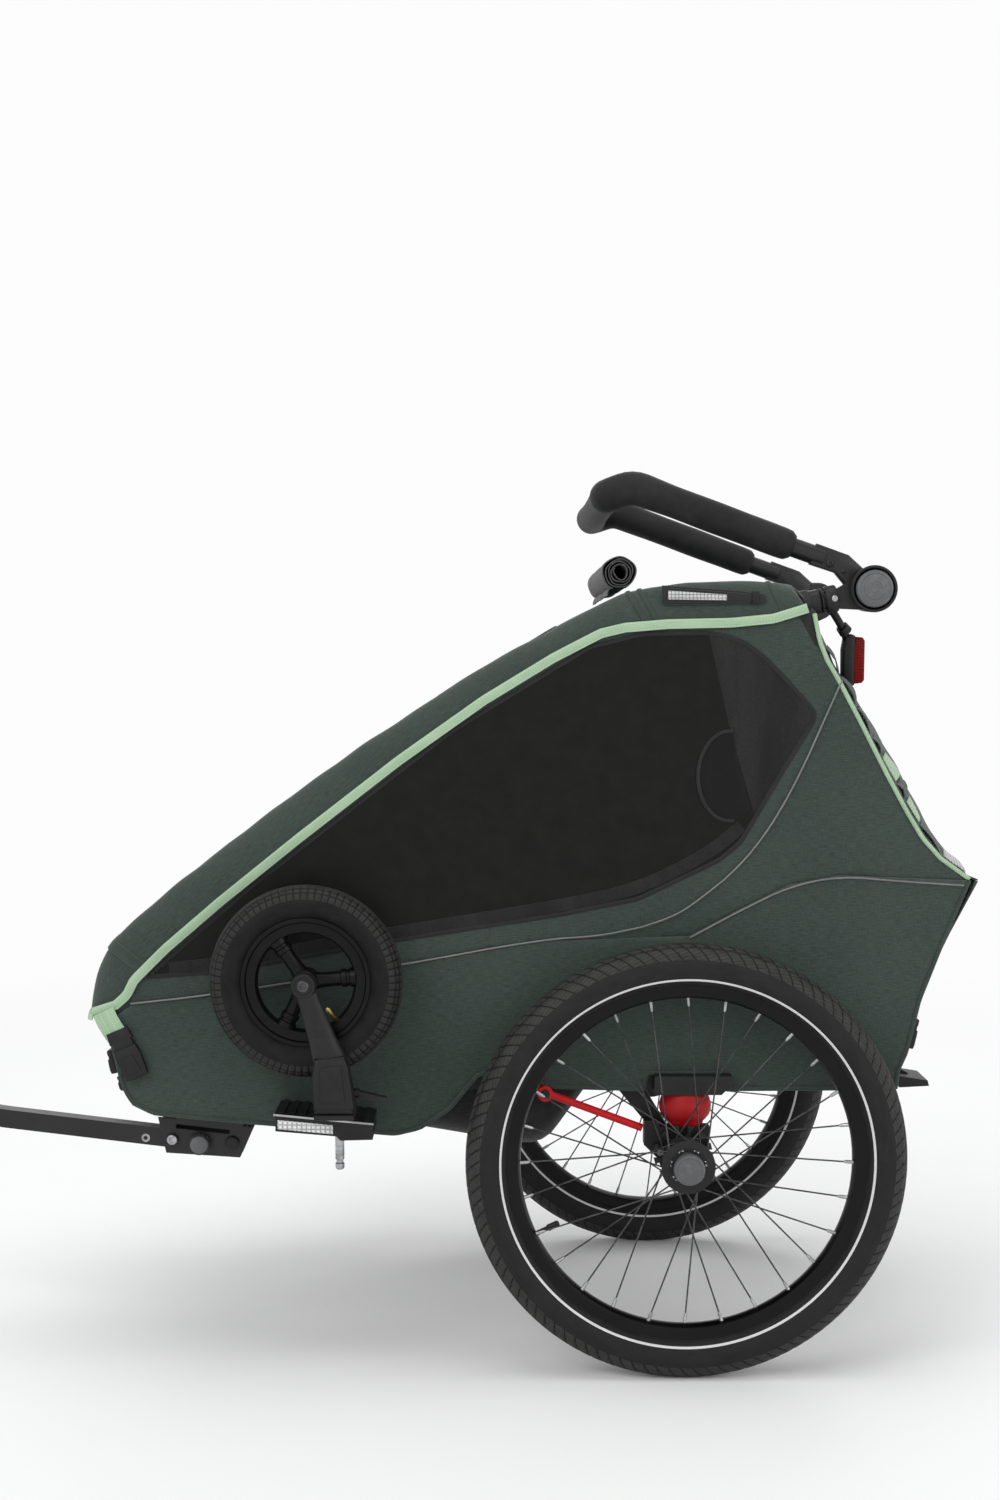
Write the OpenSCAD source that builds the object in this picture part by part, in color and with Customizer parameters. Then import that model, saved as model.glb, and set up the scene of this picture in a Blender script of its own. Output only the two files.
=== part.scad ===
// Child bicycle trailer with its small front wheel stowed on the left side.
// The origin is on the ground under the middle of the whole trailer.
// -X is the direction of travel, +Z is up and -Y is the trailer's left.
// Inside the modules X is measured from the wheel axle; place() moves it to the origin.

/* [Wheels] */
// Outer radius of the two large tyres
wheel_r = 253.5; // [250:0.5:256]
// Distance between the middle planes of the large tyres
track_w = 600; // [596:1:610]
// Number of spokes in each large wheel
spoke_count = 28; // [20:4:36]
// Outer radius of the stowed small tyre
small_r = 110; // [104:1:112]

/* [Cabin] */
// Distance between the outer faces of the two fabric sides
cabin_w = 487; // [484:1:490]
// Thickness of the stiffened fabric panels
panel_t = 4; // [3:0.5:5]
// Thickness of the seat cushion
cushion_t = 36; // [30:1:36]
// Thickness of the back rest pad
pad_t = 26; // [20:1:26]

/* [Frame] */
// Side of the square base frame tube
tube_w = 22; // [18:1:22]
// Width of the square roof frame tube
roof_tube_w = 16; // [12:1:16]

/* [Tow arm] */
// Length of the tow arm from its fold pivot to the front face of the hitch head
tow_len = 560; // [520:1:600]
// Rise of the tow arm towards the front, in degrees
tow_rise = 7; // [6:0.5:7]

/* [Push handle] */
// Distance between the middles of the handle's side tubes
handle_w = 390; // [380:1:394]
// Outer radius of the foam grip
grip_r = 16.5; // [14:0.5:17]

/* [Hidden] */
$fn = 48;

green = "#36443d";
mint = "#a5c89c";
black = "#1c1d1e";
grey = "#6a6c6e";
steel = "#c4c6c8";
red = "#c8101a";

// Outlines in the X-Z plane, measured from the axle
rear_x = 342;
belt_line = [[-669, 410], [-645, 427], [-552, 437], [-336, 471], [-168, 502],
             [6, 508], [64, 539], [122, 568], [180, 579], [332, 573]];
skirt_line = [[299, 491], [277, 432], [263, 370], [250, 349], [20, 351], [-144, 360],
              [-214, 363], [-240, 345], [-273, 303], [-308, 280], [-337, 273],
              [-507, 287], [-578, 298], [-624, 318], [-652, 363]];
hood_line = [[-692, 415], [-686, 450], [-664, 500], [-562, 588], [-410, 705],
             [-248, 812], [-111, 886], [-60, 908], [18, 917], [100, 917], [121, 913]];
trim_line = [[-688, 415], [-651, 427], [-633, 463], [-503, 574], [-271, 753],
             [-111, 850], [-57, 863], [87, 866], [139, 882]];
rear_line = [[332, 575], [286, 608], [250, 666], [183, 793], [156, 838], [147, 880]];
roof_tube_line = [[-655, 405], [-650, 455], [-610, 510], [-500, 603], [-330, 733],
                  [-170, 827], [-60, 880], [20, 890], [122, 888]];
well_line = [[-602, 345], [-588, 304], [-340, 276], [-163, 246], [-92, 346]];
front_line = [[-667, 404], [-653, 364], [-640, 346.2], [-606, 346.2]];
back_line = [[252, 351], [263, 370], [277, 432], [299, 491], [rear_x, 573]];

// Cabin levels and widths
side_out = cabin_w / 2;
side_in = side_out - panel_t;
hood_out = side_in - 0.5;
well_half = 200;
front_half = 204;
floor_z = 346;
notch_x = -477;
notch_len = 121;
notch_z = 317;

// Base frame
rail_y = 214;
rail_z = floor_z - tube_w / 2;
rail_front = -626;
rail_rear = 252;
cross_x = [-615, -78, 241];
socket_x = -618;
fold_x = -655;
fold_z = 405;
fold_pin_r = 5;
post_y0 = 226;
post_y1 = 232;

// Suspension and brake
pivot_x = -161;
pivot_z = 323;
pivot_pin_r = 5;
rod_r = 4.5;
carrier_y0 = 228;
carrier_y1 = 250;
beam_x = 11;
pad_x = 4;
pad_y = 234;
pad_low_z = 284;
brake_r = 26;
brake_pin_r = 4;
brake_ring_r = 32;

// Wheels
hub_z = wheel_r;
wheel_y = track_w / 2;
tyre_r = 25;
rim_r = wheel_r - 45.5;
rim_in_r = rim_r - 16;
hub_r = 15;
flange_r = 24;
flange_z = 25;
axle_r = 6;
push_rod_r = 2.8;
button_r = 17.5;
button_out = 345;

// Tow bracket and arm
tow_x = -604;
tow_z = 260;
tow_y = 191;
arm_w = 22;
arm_h = 22;
bend_deg = 24;
bend_r = 160;
hitch_bore_r = 10;
hitch_pin_r = 4;
hitch_bore_len = 30;
hitch_lock_at = 15;
hitch_park_at = 37;

// Stowed wheel
stem_x = -398;
stem_y = 305;
stem_r = 5;
holder_top = 312;
holder_t = 21;
small_x = -435;
small_z = 464;
small_y = 300;
small_tube_r = 20;
small_axle_r = 5;
lever_x = -378;
lever_z = 336;

// Seat and back rest
back_x = 125;
back_z = 420;
back_len = 372;
back_lean = 5.4;
back_half = 158;
cushion_top = 388;

// Handle and rear light
light_low = 797;
grip_x = 215;
grip_z = 908;
grip_y0 = 186;
grip_y1 = 214.5;
bar_start = [160, 945];
bar_bend = [-60, 1026];
bar_front = [-90, 1016];
bar_r = 9;

// Whole trailer: the tow arm's front corner and the rear corner set the origin
hitch_half_h = 16;
front_x = tow_x - tow_len * cos(tow_rise) - hitch_half_h * sin(tow_rise);
axle_x = -(front_x + rear_x) / 2;

// Offsetting of open outlines
function seg_normal(p, i) = let (d = p[i + 1] - p[i]) [-d[1], d[0]] / norm(d);
function mitre(p, i, d) =
    i == 0 ? p[0] + d * seg_normal(p, 0)
    : i == len(p) - 1 ? p[i] + d * seg_normal(p, i - 1)
    : let (m = seg_normal(p, i - 1) + seg_normal(p, i)) p[i] + m * 2 * d / (m * m);
function band(p, d0, d1) = concat(
    [for (i = [0 : len(p) - 1]) mitre(p, i, d0)],
    [for (i = [len(p) - 1 : -1 : 0]) mitre(p, i, d1)]);
// One round of corner cutting, which keeps the two ends
function round_off(p) = [
    p[0],
    for (i = [0 : len(p) - 2]) each [p[i] * 0.75 + p[i + 1] * 0.25, p[i] * 0.25 + p[i + 1] * 0.75],
    p[len(p) - 1]
];
function reversed(p) = [for (i = [len(p) - 1 : -1 : 0]) p[i]];

module place() {
    translate([axle_x, 0, 0])
        children();
}

// Everything below is drawn for the left side, at -Y; side(1) mirrors it
module side(s) {
    if (s < 0)
        children();
    else
        mirror([0, 1, 0]) children();
}

module both_sides() {
    children();
    mirror([0, 1, 0]) children();
}

// Extrudes an X-Z outline from y0 to y1
module slab(y0, y1) {
    translate([0, y1, 0])
        rotate([90, 0, 0])
            linear_extrude(y1 - y0)
                children();
}

// Round bar along Y
module y_bar(x, z, y0, y1, r) {
    translate([x, y1, z])
        rotate([90, 0, 0])
            cylinder(h = y1 - y0, r = r);
}

// Round bar from a to b
module rod(a, b, r) {
    d = b - a;
    translate(a)
        rotate([0, acos(d[2] / norm(d)), atan2(d[1], d[0])])
            cylinder(h = norm(d), r = r);
}

module block(x0, x1, y0, y1, z0, z1) {
    translate([x0, y0, z0])
        cube([x1 - x0, y1 - y0, z1 - z0]);
}

module disc(x, z, r) {
    translate([x, z])
        circle(r = r);
}

// ---- Base frame and what is fixed to it ----

// Rails with the posts and pins that the roof turns on
module side_rails() {
    half = tube_w / 2;
    color(black)
        both_sides() {
            block(rail_front, rail_rear, -rail_y - half, -rail_y + half, rail_z - half, rail_z + half);
            slab(-post_y1, -post_y0)
                union() {
                    polygon([[-632, 330], [-608, 330], [fold_x + 9, fold_z], [fold_x - 9, fold_z]]);
                    disc(fold_x, fold_z, 11);
                }
            y_bar(fold_x, fold_z, -post_y0 - 0.5, -206, fold_pin_r);
            block(-632, -608, -post_y0, -rail_y, rail_z - 9, rail_z + 9);
        }
}

module cross_tubes() {
    half = tube_w / 2;
    color(black)
        for (x = cross_x)
            block(x - half, x + half, -rail_y + half, rail_y - half, rail_z - half, rail_z + half);
}

// Socket for the stem of the small wheel when the trailer is pushed
module stem_socket() {
    color(black)
        difference() {
            union() {
                translate([socket_x, 0, 262])
                    cylinder(h = 50, r = 14);
                block(socket_x - 14, socket_x + 14, -22, 22, 302, rail_z - tube_w / 2);
            }
            translate([socket_x, 0, 255])
                cylinder(h = 50, r = stem_r + 0.1);
        }
}

// Posts and pins that the back rest turns on
module back_posts() {
    foot = floor_z + panel_t + 0.3;
    color(black)
        both_sides() {
            slab(-190, -184)
                union() {
                    polygon([[back_x - 24, foot], [back_x + 24, foot],
                             [back_x + 9, back_z], [back_x - 9, back_z]]);
                    disc(back_x, back_z, 10);
                }
            y_bar(back_x, back_z, -184.5, -160, fold_pin_r);
        }
}

module suspension_beam() {
    color(black) {
        block(beam_x - 15, beam_x + 15, -203, 203, rail_z - 9, rail_z + 9);
        both_sides() {
            slab(-262, -rail_y - tube_w / 2)
                polygon([[-34, 346], [56, 346], [56, 336], [44, 324], [-34, 324]]);
            slab(-222, -213)
                polygon([[-75, 324], [-42, 324], [-18, 282], [-32, 272]]);
            slab(-229, -rail_y - tube_w / 2)
                union() {
                    polygon([[-180, 346], [-140, 346], [pivot_x + 9, pivot_z], [pivot_x - 9, pivot_z]]);
                    disc(pivot_x, pivot_z, 10);
                }
            y_bar(pivot_x, pivot_z, -253, -228.5, pivot_pin_r);
        }
    }
}

module bracket_plate() {
    difference() {
        polygon([[-621, 287], [-508, 274], [-524, 238], [-612, 244]]);
        disc(tow_x, tow_z, 5.1);
        disc(-533, 256, 5.5);
        polygon([[-600, 279], [-536, 271.5], [-536, 266], [-600, 273.5]]);
    }
}

module tow_bracket() {
    arm_side = tow_y + arm_w / 2 + 1;
    color(black) {
        slab(-arm_side - 4, -arm_side)
            difference() {
                bracket_plate();
                disc(-571, 256, 4.2);
            }
        slab(-tow_y + arm_w / 2 + 1, -tow_y + arm_w / 2 + 5)
            bracket_plate();
        slab(-arm_side - 4, -tow_y + arm_w / 2 + 5)
            polygon([[-596, 284], [-516, 275], [-516, 272], [-586, 280]]);
        slab(-arm_side - 4, -arm_side)
            polygon([[-600, rail_z - tube_w / 2], [-520, rail_z - tube_w / 2], [-520, 272], [-600, 281]]);
    }
    color(steel) {
        y_bar(tow_x, tow_z, -arm_side - 7, -tow_y + arm_w / 2 + 8, 5);
        y_bar(tow_x, tow_z, -arm_side - 9, -arm_side - 4, 7);
        y_bar(tow_x, tow_z, -tow_y + arm_w / 2 + 5, -tow_y + arm_w / 2 + 10, 7);
    }
}

module wheel_holders() {
    color(black)
        both_sides()
            difference() {
                union() {
                    slab(-322, -rail_y - tube_w / 2)
                        polygon([[-470, holder_top], [-362, holder_top - 5],
                                 [-362, holder_top - holder_t - 4], [-470, holder_top - holder_t]]);
                    block(-468, -366, -239, -rail_y - tube_w / 2, 300, rail_z + 8);
                }
                translate([stem_x, -stem_y, 270])
                    cylinder(h = 60, r = stem_r + 0.08);
                block(-468, -404, -323, -319.5, holder_top - holder_t + 1, holder_top - 4);
            }
}

module step_reflectors() {
    color("white")
        both_sides()
            block(-467, -405, -322.5, -319.6, holder_top - holder_t + 1.5, holder_top - 4.5);
}

module tub_side(s) {
    color(green)
        side(s)
            slab(-side_out, -side_in)
                difference() {
                    polygon(concat(belt_line, skirt_line));
                    translate([notch_x, 0])
                        square([notch_len, notch_z]);
                }
}

module tub_floor() {
    color(green) {
        block(-88, 250, -side_in + 0.5, side_in - 0.5, floor_z + 0.2, floor_z + panel_t);
        both_sides()
            block(-600, -88.5, -side_in + 0.5, -well_half - 0.5, floor_z + 0.2, floor_z + panel_t);
    }
}

module foot_well() {
    color(green) {
        slab(-well_half, well_half)
            polygon(band(well_line, 0, panel_t));
        both_sides()
            slab(-well_half, -well_half + panel_t)
                polygon(well_line);
    }
}

module tub_front() {
    color(green)
        slab(-front_half, front_half)
            polygon(band(front_line, 0, panel_t));
}

module tub_rear() {
    color(green)
        slab(-side_in + 0.5, side_in - 0.5)
            polygon(band(back_line, 0, panel_t));
}

module strap_buckles() {
    color(black)
        both_sides() {
            block(-664, -640, -side_out - 9, -side_out - 0.3, 338, 356);
            block(-668, -652, -side_out - 8, -side_out - 0.3, 362, 396);
            translate([268.5, -200, 388])
                rotate([0, 12.7, 0])
                    cube([9, 30, 34]);
        }
}

module seat_cushion() {
    color(grey)
        block(-110, 96, -178, 178, cushion_top - cushion_t, cushion_top);
}

module harness_buckle() {
    color(black) {
        translate([-38, 0, cushion_top + 0.3])
            cylinder(h = 14, r = 22);
        block(-70, -60, -14, 14, cushion_top + 0.3, cushion_top + 8);
        block(-60.5, -58, -12, 12, cushion_top + 0.3, cushion_top + 6);
    }
}

// ---- Roof, which folds down about its front corners ----

module roof_frame() {
    half = roof_tube_w / 2;
    color(black) {
        both_sides()
            slab(-215 - half, -215 + half)
                difference() {
                    union() {
                        polygon(band(roof_tube_line, half, -half));
                        disc(fold_x, fold_z, 10);
                    }
                    disc(fold_x, fold_z, fold_pin_r + 0.06);
                }
        for (p = [roof_tube_line[3], roof_tube_line[6], roof_tube_line[8] - [8, 0]])
            y_bar(p[0], p[1], -215 + half, 215 - half, half - 1);
    }
}

module hood() {
    outer = round_off(hood_line);
    color(green) {
        slab(-hood_out, hood_out)
            polygon(band(outer, 0, -panel_t));
        both_sides()
            slab(-hood_out, -hood_out + panel_t)
                polygon(concat(outer, reversed(trim_line)));
    }
}

module hood_trim() {
    color(mint)
        both_sides()
            slab(-hood_out - 2.4, -hood_out - 0.2)
                polygon(band(concat([[-641, 447]], [for (i = [2 : len(trim_line) - 1]) trim_line[i]]), -3, 11));
}

module roof_reflectors() {
    color(steel)
        both_sides()
            slab(-hood_out - 5, -hood_out - 0.3)
                polygon([[-28, 889], [88, 890], [72, 904], [-12, 908]]);
}

module sunshade_roll() {
    color(black) {
        y_bar(-73, 935.5, -176, 176, 22);
        both_sides()
            block(-90, -56, -150, -130, 910, 922);
    }
}

module handle_mounts() {
    color(black)
        both_sides() {
            rod([124, -216, 888], [186, -216, 900], 10.8);
            rod([136, -216, 890.3], [154, -216, 893.8], 14.5);
            difference() {
                union() {
                    y_bar(grip_x, grip_z, -234, -215, 26);
                    slab(-227, -215)
                        polygon([[172, 908], [172, 886], [212, 884], [212, 930]]);
                }
                y_bar(grip_x, grip_z, -235, -229, 21.4);
            }
        }
}

module rear_light_body() {
    color(black) {
        block(193, 203, -176, -152, light_low, light_low + 60);
        rod([168, -198, 889], [198, -165, 857], 5);
    }
}

module rear_light_lens() {
    color(red)
        block(203.2, 216, -175, -153, light_low, light_low + 60);
}

// ---- Fabric between the tub and the roof, which folds up with the roof ----

module window(s) {
    color(black)
        side(s)
            slab(-side_in + 1.7, -side_in + 3.2)
                polygon(concat([for (p = belt_line) p + [0, 0.5]], rear_line,
                               [for (p = reversed(trim_line)) p - [0, 3.5]]));
}

module rear_cover() {
    color(green)
        slab(-side_in + 4, side_in - 4)
            polygon(band(concat([for (i = [0 : 4]) rear_line[i]], [[149, 872]]), 0, 3));
}

// ---- Back rest, which folds forward over the seat ----

module back_place() {
    translate([back_x, 0, back_z])
        rotate([0, back_lean, 0])
            children();
}

module backrest_frame() {
    color(black)
        difference() {
            back_place() {
                both_sides()
                    block(-8, 8, -back_half - 18, -back_half - 2, -11, back_len);
                block(-8, 8, -back_half - 2, back_half + 2, back_len - 16, back_len);
                block(-8, 8, -back_half - 2, back_half + 2, 60, 74);
            }
            both_sides()
                y_bar(back_x, back_z, -190, -150, fold_pin_r + 0.06);
        }
}

module backrest_pad() {
    color(grey)
        back_place()
            block(-9 - pad_t, -9, -back_half - 14, back_half + 14, 15, back_len - 6);
}

module headrest() {
    color(black)
        back_place()
            block(-pad_t - 36, -pad_t - 9.5, -110, 110, 262, back_len - 8);
}

module shoulder_straps() {
    color(black)
        both_sides()
            back_place()
                block(-pad_t - 12.5, -pad_t - 9.5, -72, -44, 40, 255);
}

// ---- Push handle, folded forward over the roof ----

function at(p, y) = [p[0], y, p[1]];

// Side tubes, corners and front bar of the handle, as one bent tube
module handle_tube(start, r, ball_r) {
    y = -handle_w / 2;
    both_sides() {
        rod(at(start, y), at(bar_bend, y), r);
        translate(at(bar_bend, y))
            sphere(r = ball_r);
        rod(at(bar_bend, y), at(bar_front, y), r);
        translate(at(bar_front, y))
            sphere(r = ball_r);
    }
    rod(at(bar_front, y), at(bar_front, -y), r);
}

module handle_bar() {
    color(black) {
        handle_tube(bar_start, bar_r, bar_r + 0.2);
        both_sides() {
            y_bar(grip_x, grip_z, -grip_y1, -grip_y0, 25);
            slab(-handle_w / 2 - 8, -handle_w / 2 + 8)
                polygon([[212, 928], [200, 890], [150, 934], [160, 960]]);
        }
    }
}

module foam_grip() {
    color(black)
        difference() {
            handle_tube([137, 953.1], grip_r, grip_r + 0.3);
            handle_tube([140, 952.05], bar_r + 0.3, bar_r + 0.6);
        }
}

module handle_button(s) {
    color(grey)
        side(s)
            y_bar(grip_x, grip_z, -240.5, -232.6, 21);
}

// ---- Tow arm, whose own frame has its pivot at the origin and points to -X ----

module tow_place() {
    translate([tow_x, -tow_y, tow_z])
        rotate([0, tow_rise, 0])
            children();
}

arm_straight = 190;
slant_len = 120;
head_len = 64;
arm_arc = [for (a = [0 : 4 : bend_deg]) [-bend_r * sin(a), bend_r * (1 - cos(a))]];
bend_reach = bend_r * sin(bend_deg);
bend_shift = bend_r * (1 - cos(bend_deg));
arm_shift = 2 * bend_shift + slant_len * sin(bend_deg);
bend_end = [-arm_straight - 2 * bend_reach - slant_len * cos(bend_deg), arm_shift];
// Middle line of the arm seen from above: straight, bent inwards and straight again
arm_line = concat([[0, 0]],
                  [for (p = arm_arc) p - [arm_straight, 0]],
                  [for (p = reversed(arm_arc)) bend_end - p],
                  [[-tow_len + head_len - 20, arm_shift]]);

module tow_arm() {
    color(black)
        difference() {
            tow_place() {
                translate([0, 0, -arm_h / 2])
                    linear_extrude(arm_h)
                        polygon(band(arm_line, arm_w / 2, -arm_w / 2));
                y_bar(0, 0, -arm_w / 2, arm_w / 2, arm_h / 2);
            }
            y_bar(tow_x, tow_z, -tow_y - 20, -tow_y + 20, 5.06);
        }
}

// The hitch head's own origin is on the arm's line, at its front face
module head_place() {
    tow_place()
        translate([-tow_len, arm_shift, 0])
            children();
}

module hitch_head() {
    h = hitch_half_h;
    color(black)
        head_place()
            difference() {
                block(0, head_len - 20.2, -h, h, -h, h);
                translate([-1, 0, 0])
                    rotate([0, 90, 0])
                        cylinder(h = hitch_bore_len + 1, r = hitch_bore_r);
                for (x = [hitch_lock_at, hitch_park_at])
                    translate([x, 0, -h - 1])
                        cylinder(h = 2 * h + 2, r = hitch_pin_r + 0.08);
            }
}

// The pin is parked in the rear hole and has a ring at its top
module hitch_pin() {
    h = hitch_half_h;
    color(steel)
        head_place()
            translate([hitch_park_at, 0, 0]) {
                translate([0, 0, -h - 6])
                    cylinder(h = 2 * h + 10, r = hitch_pin_r);
                translate([0, 0, h + 0.5])
                    cylinder(h = 3.5, r = 8);
                translate([0, 1.5, h + 12])
                    rotate([90, 0, 0])
                        rotate_extrude()
                            disc(10, 0, 1.5);
            }
}

module lock_knob() {
    y = -tow_y - arm_w / 2 - 5;
    color(grey) {
        y_bar(-571, 256, y - 14, y - 5, 12);
        y_bar(-571, 256, y - 6, y - 1, 8);
        y_bar(-571, 256, y - 2, y + 3.5, 4.1);
    }
}

// ---- Large wheels ----

module wheel_place(s) {
    side(s)
        translate([0, -wheel_y, hub_z])
            rotate([90, 0, 0])
                children();
}

module tyre(s) {
    mid = wheel_r - tyre_r;
    color(black)
        wheel_place(s)
            rotate_extrude($fn = 96)
                difference() {
                    disc(mid, 0, tyre_r);
                    disc(mid - 1, 0, tyre_r - 3.7);
                    translate([0, -tyre_r])
                        square([rim_r + 0.3, 2 * tyre_r]);
                }
}

module rim(s) {
    color(black)
        wheel_place(s) {
            rotate_extrude($fn = 96)
                polygon([[rim_in_r, -8], [rim_in_r + 7, -13], [rim_r, -13], [rim_r, -10.5],
                         [rim_r - 5, -9], [rim_r - 5, 9], [rim_r, 10.5], [rim_r, 13],
                         [rim_in_r + 7, 13], [rim_in_r, 8]]);
            rotate([0, -90, 26])
                translate([0, 0, rim_in_r - 30])
                    cylinder(h = 32, r = 3.5);
        }
}

// Spokes laced from alternate flanges; those that lean forward lie inside those that lean back
module spokes(s) {
    lace = 70;
    step = 360 / spoke_count;
    color(steel)
        wheel_place(s)
            for (i = [0 : spoke_count - 1])
                let (lean = i % 4 < 2 ? 1 : -1,
                     out = (i % 2 == 0 ? 1 : -1) * (flange_z + 1.5 + lean * 2.6),
                     from = i * step + lean * lace)
                    rod([20 * cos(from), 20 * sin(from), out],
                        [(rim_in_r + 1) * cos(i * step), (rim_in_r + 1) * sin(i * step), out / 9],
                        1.1);
}

// Hub shell with two flanges
module wheel_hub(s) {
    inner = wheel_y - 259;
    color(black)
        wheel_place(s)
            difference() {
                union() {
                    translate([0, 0, -inner])
                        cylinder(h = inner + 31, r = hub_r);
                    for (z = [-flange_z - 3, flange_z])
                        translate([0, 0, z])
                            cylinder(h = 3, r = flange_r);
                }
                translate([0, 0, -inner - 1])
                    cylinder(h = inner + 40, r = axle_r + 0.1);
            }
}

module brake_ring(s) {
    color(black)
        side(s) {
            difference() {
                y_bar(0, hub_z, -258.8, -254, brake_ring_r);
                for (i = [0 : 11])
                    y_bar(brake_r * cos(30 * i), hub_z + brake_r * sin(30 * i), -260, -252, brake_pin_r + 0.8);
                y_bar(0, hub_z, -260, -252, axle_r + 0.1);
            }
            difference() {
                y_bar(0, hub_z, -wheel_y - 30, -225, axle_r);
                y_bar(0, hub_z, -wheel_y - 31, -220, push_rod_r + 0.1);
            }
        }
}

module hub_button(s) {
    color(grey)
        side(s) {
            y_bar(0, hub_z, -button_out, -336, button_r);
            y_bar(0, hub_z, -336.5, -232, push_rod_r);
        }
}

// ---- Suspension arms and parking brake ----

module suspension_rod(s) {
    color(red)
        side(s)
            difference() {
                union() {
                    y_bar(pivot_x, pivot_z, -250, -230, 9);
                    rod([pivot_x, -240, pivot_z], [-47, -240, 280.7], rod_r);
                }
                y_bar(pivot_x, pivot_z, -260, -220, pivot_pin_r + 0.06);
            }
}

module hub_carrier(s) {
    color(black)
        side(s)
            difference() {
                union() {
                    y_bar(0, hub_z, -carrier_y1, -carrier_y0, 30);
                    slab(-carrier_y1, -carrier_y0)
                        polygon([[-45, 262], [-45, 291], [-32, 291], [-26, pad_low_z - 0.3],
                                 [32, pad_low_z - 0.3], [31, hub_z - 2], [-14, hub_z - 22]]);
                }
                y_bar(0, hub_z, -carrier_y1 - 1, -carrier_y0 + 1, axle_r + 0.06);
                y_bar(-brake_r, hub_z, -carrier_y1 - 1, -carrier_y0 + 1, brake_pin_r + 0.06);
            }
}

module elastomer(s) {
    top = rail_z - tube_w / 2 - 0.2;
    mid = (pad_low_z + top) / 2;
    color(red)
        side(s)
            translate([pad_x, -pad_y, 0])
                rotate_extrude()
                    polygon([[0, pad_low_z], [18, pad_low_z], [26, pad_low_z + 7], [29.5, mid],
                             [29, mid + 8], [26, top], [0, top]]);
}

module brake_pin(s) {
    color(steel)
        side(s)
            y_bar(-brake_r, hub_z, -253, -224, brake_pin_r);
}

module brake_pedal() {
    color(black) {
        y_bar(268, 316, -30, 30, 7);
        slab(-9, 9)
            polygon([[266, 322], [274, 322], [312, 302], [306, 292], [262, 311]]);
        slab(-34, 34)
            polygon([[290, 304], [332, 297], [334, 290], [296, 288]]);
    }
}

// ---- Stowed front wheel ----

module small_fork() {
    color(black)
        difference() {
            union() {
                block(-418, -386, -342, -290, holder_top + 0.3, 346);
                slab(-342, -329)
                    polygon([[-418, 330], [-386, 330], [-424, small_z], [-446, small_z - 4]]);
                y_bar(small_x, small_z, -342, -329, 13);
                y_bar(small_x, small_z, -330, -276, small_axle_r);
                for (y = [-323, -306])
                    slab(y, y + 4)
                        polygon([[-387, 346], [-374, 343], [-372, 328], [-387, 322]]);
                y_bar(lever_x, lever_z, -323, -302, 3);
            }
            translate([stem_x, -stem_y, holder_top - 5])
                cylinder(h = 20, r = stem_r + 0.02);
        }
    color(steel)
        translate([stem_x, -stem_y, 247])
            cylinder(h = 79, r = stem_r);
}

module fork_lever() {
    color(grey)
        slab(-318, -307)
            difference() {
                union() {
                    disc(lever_x, lever_z, 5.5);
                    polygon([[lever_x - 2, lever_z + 5], [-343, 332], [-345, 327], [lever_x - 1, lever_z - 4]]);
                }
                disc(lever_x, lever_z, 3.08);
            }
}

module small_place() {
    translate([small_x, -small_y, small_z])
        rotate([90, 0, 0])
            children();
}

module small_tyre() {
    mid = small_r - small_tube_r;
    color(black)
        small_place()
            rotate_extrude($fn = 72)
                difference() {
                    disc(mid, 0, small_tube_r);
                    translate([0, -small_tube_r])
                        square([mid - 16.7, 2 * small_tube_r]);
                }
}

module small_rim() {
    mid = small_r - small_tube_r;
    color(black)
        small_place() {
            rotate_extrude($fn = 72)
                translate([mid - 36, -12])
                    square([19, 24]);
            difference() {
                union() {
                    cylinder(h = 40, r = 14, center = true);
                    for (a = [125, 245, 5])
                        rotate(a)
                            translate([8, -7, -8])
                                cube([mid - 42, 14, 16]);
                }
                cylinder(h = 60, r = small_axle_r + 0.08, center = true);
            }
        }
}

place() side_rails();
place() cross_tubes();
place() stem_socket();
place() back_posts();
place() suspension_beam();
place() tow_bracket();
place() wheel_holders();
place() step_reflectors();
place() tub_side(-1);  // tub_side_left
place() tub_side(1);  // tub_side_right
place() tub_floor();
place() foot_well();
place() tub_front();
place() tub_rear();
place() strap_buckles();
place() seat_cushion();
place() harness_buckle();
place() roof_frame();
place() hood();
place() hood_trim();
place() roof_reflectors();
place() sunshade_roll();
place() handle_mounts();
place() rear_light_body();
place() rear_light_lens();
place() window(-1);  // window_left
place() window(1);  // window_right
place() rear_cover();
place() backrest_frame();
place() backrest_pad();
place() headrest();
place() shoulder_straps();
place() handle_bar();
place() foam_grip();
place() handle_button(-1);  // handle_button_left
place() handle_button(1);  // handle_button_right
place() tow_arm();
place() hitch_head();
place() hitch_pin();
place() lock_knob();
place() tyre(-1);  // tyre_left
place() rim(-1);  // rim_left
place() spokes(-1);  // spokes_left
place() wheel_hub(-1);  // wheel_hub_left
place() brake_ring(-1);  // brake_ring_left
place() hub_button(-1);  // hub_button_left
place() tyre(1);  // tyre_right
place() rim(1);  // rim_right
place() spokes(1);  // spokes_right
place() wheel_hub(1);  // wheel_hub_right
place() brake_ring(1);  // brake_ring_right
place() hub_button(1);  // hub_button_right
place() suspension_rod(-1);  // suspension_rod_left
place() hub_carrier(-1);  // hub_carrier_left
place() elastomer(-1);  // elastomer_left
place() brake_pin(-1);  // brake_pin_left
place() suspension_rod(1);  // suspension_rod_right
place() hub_carrier(1);  // hub_carrier_right
place() elastomer(1);  // elastomer_right
place() brake_pin(1);  // brake_pin_right
place() brake_pedal();
place() small_fork();
place() fork_lever();
place() small_tyre();
place() small_rim();
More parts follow.
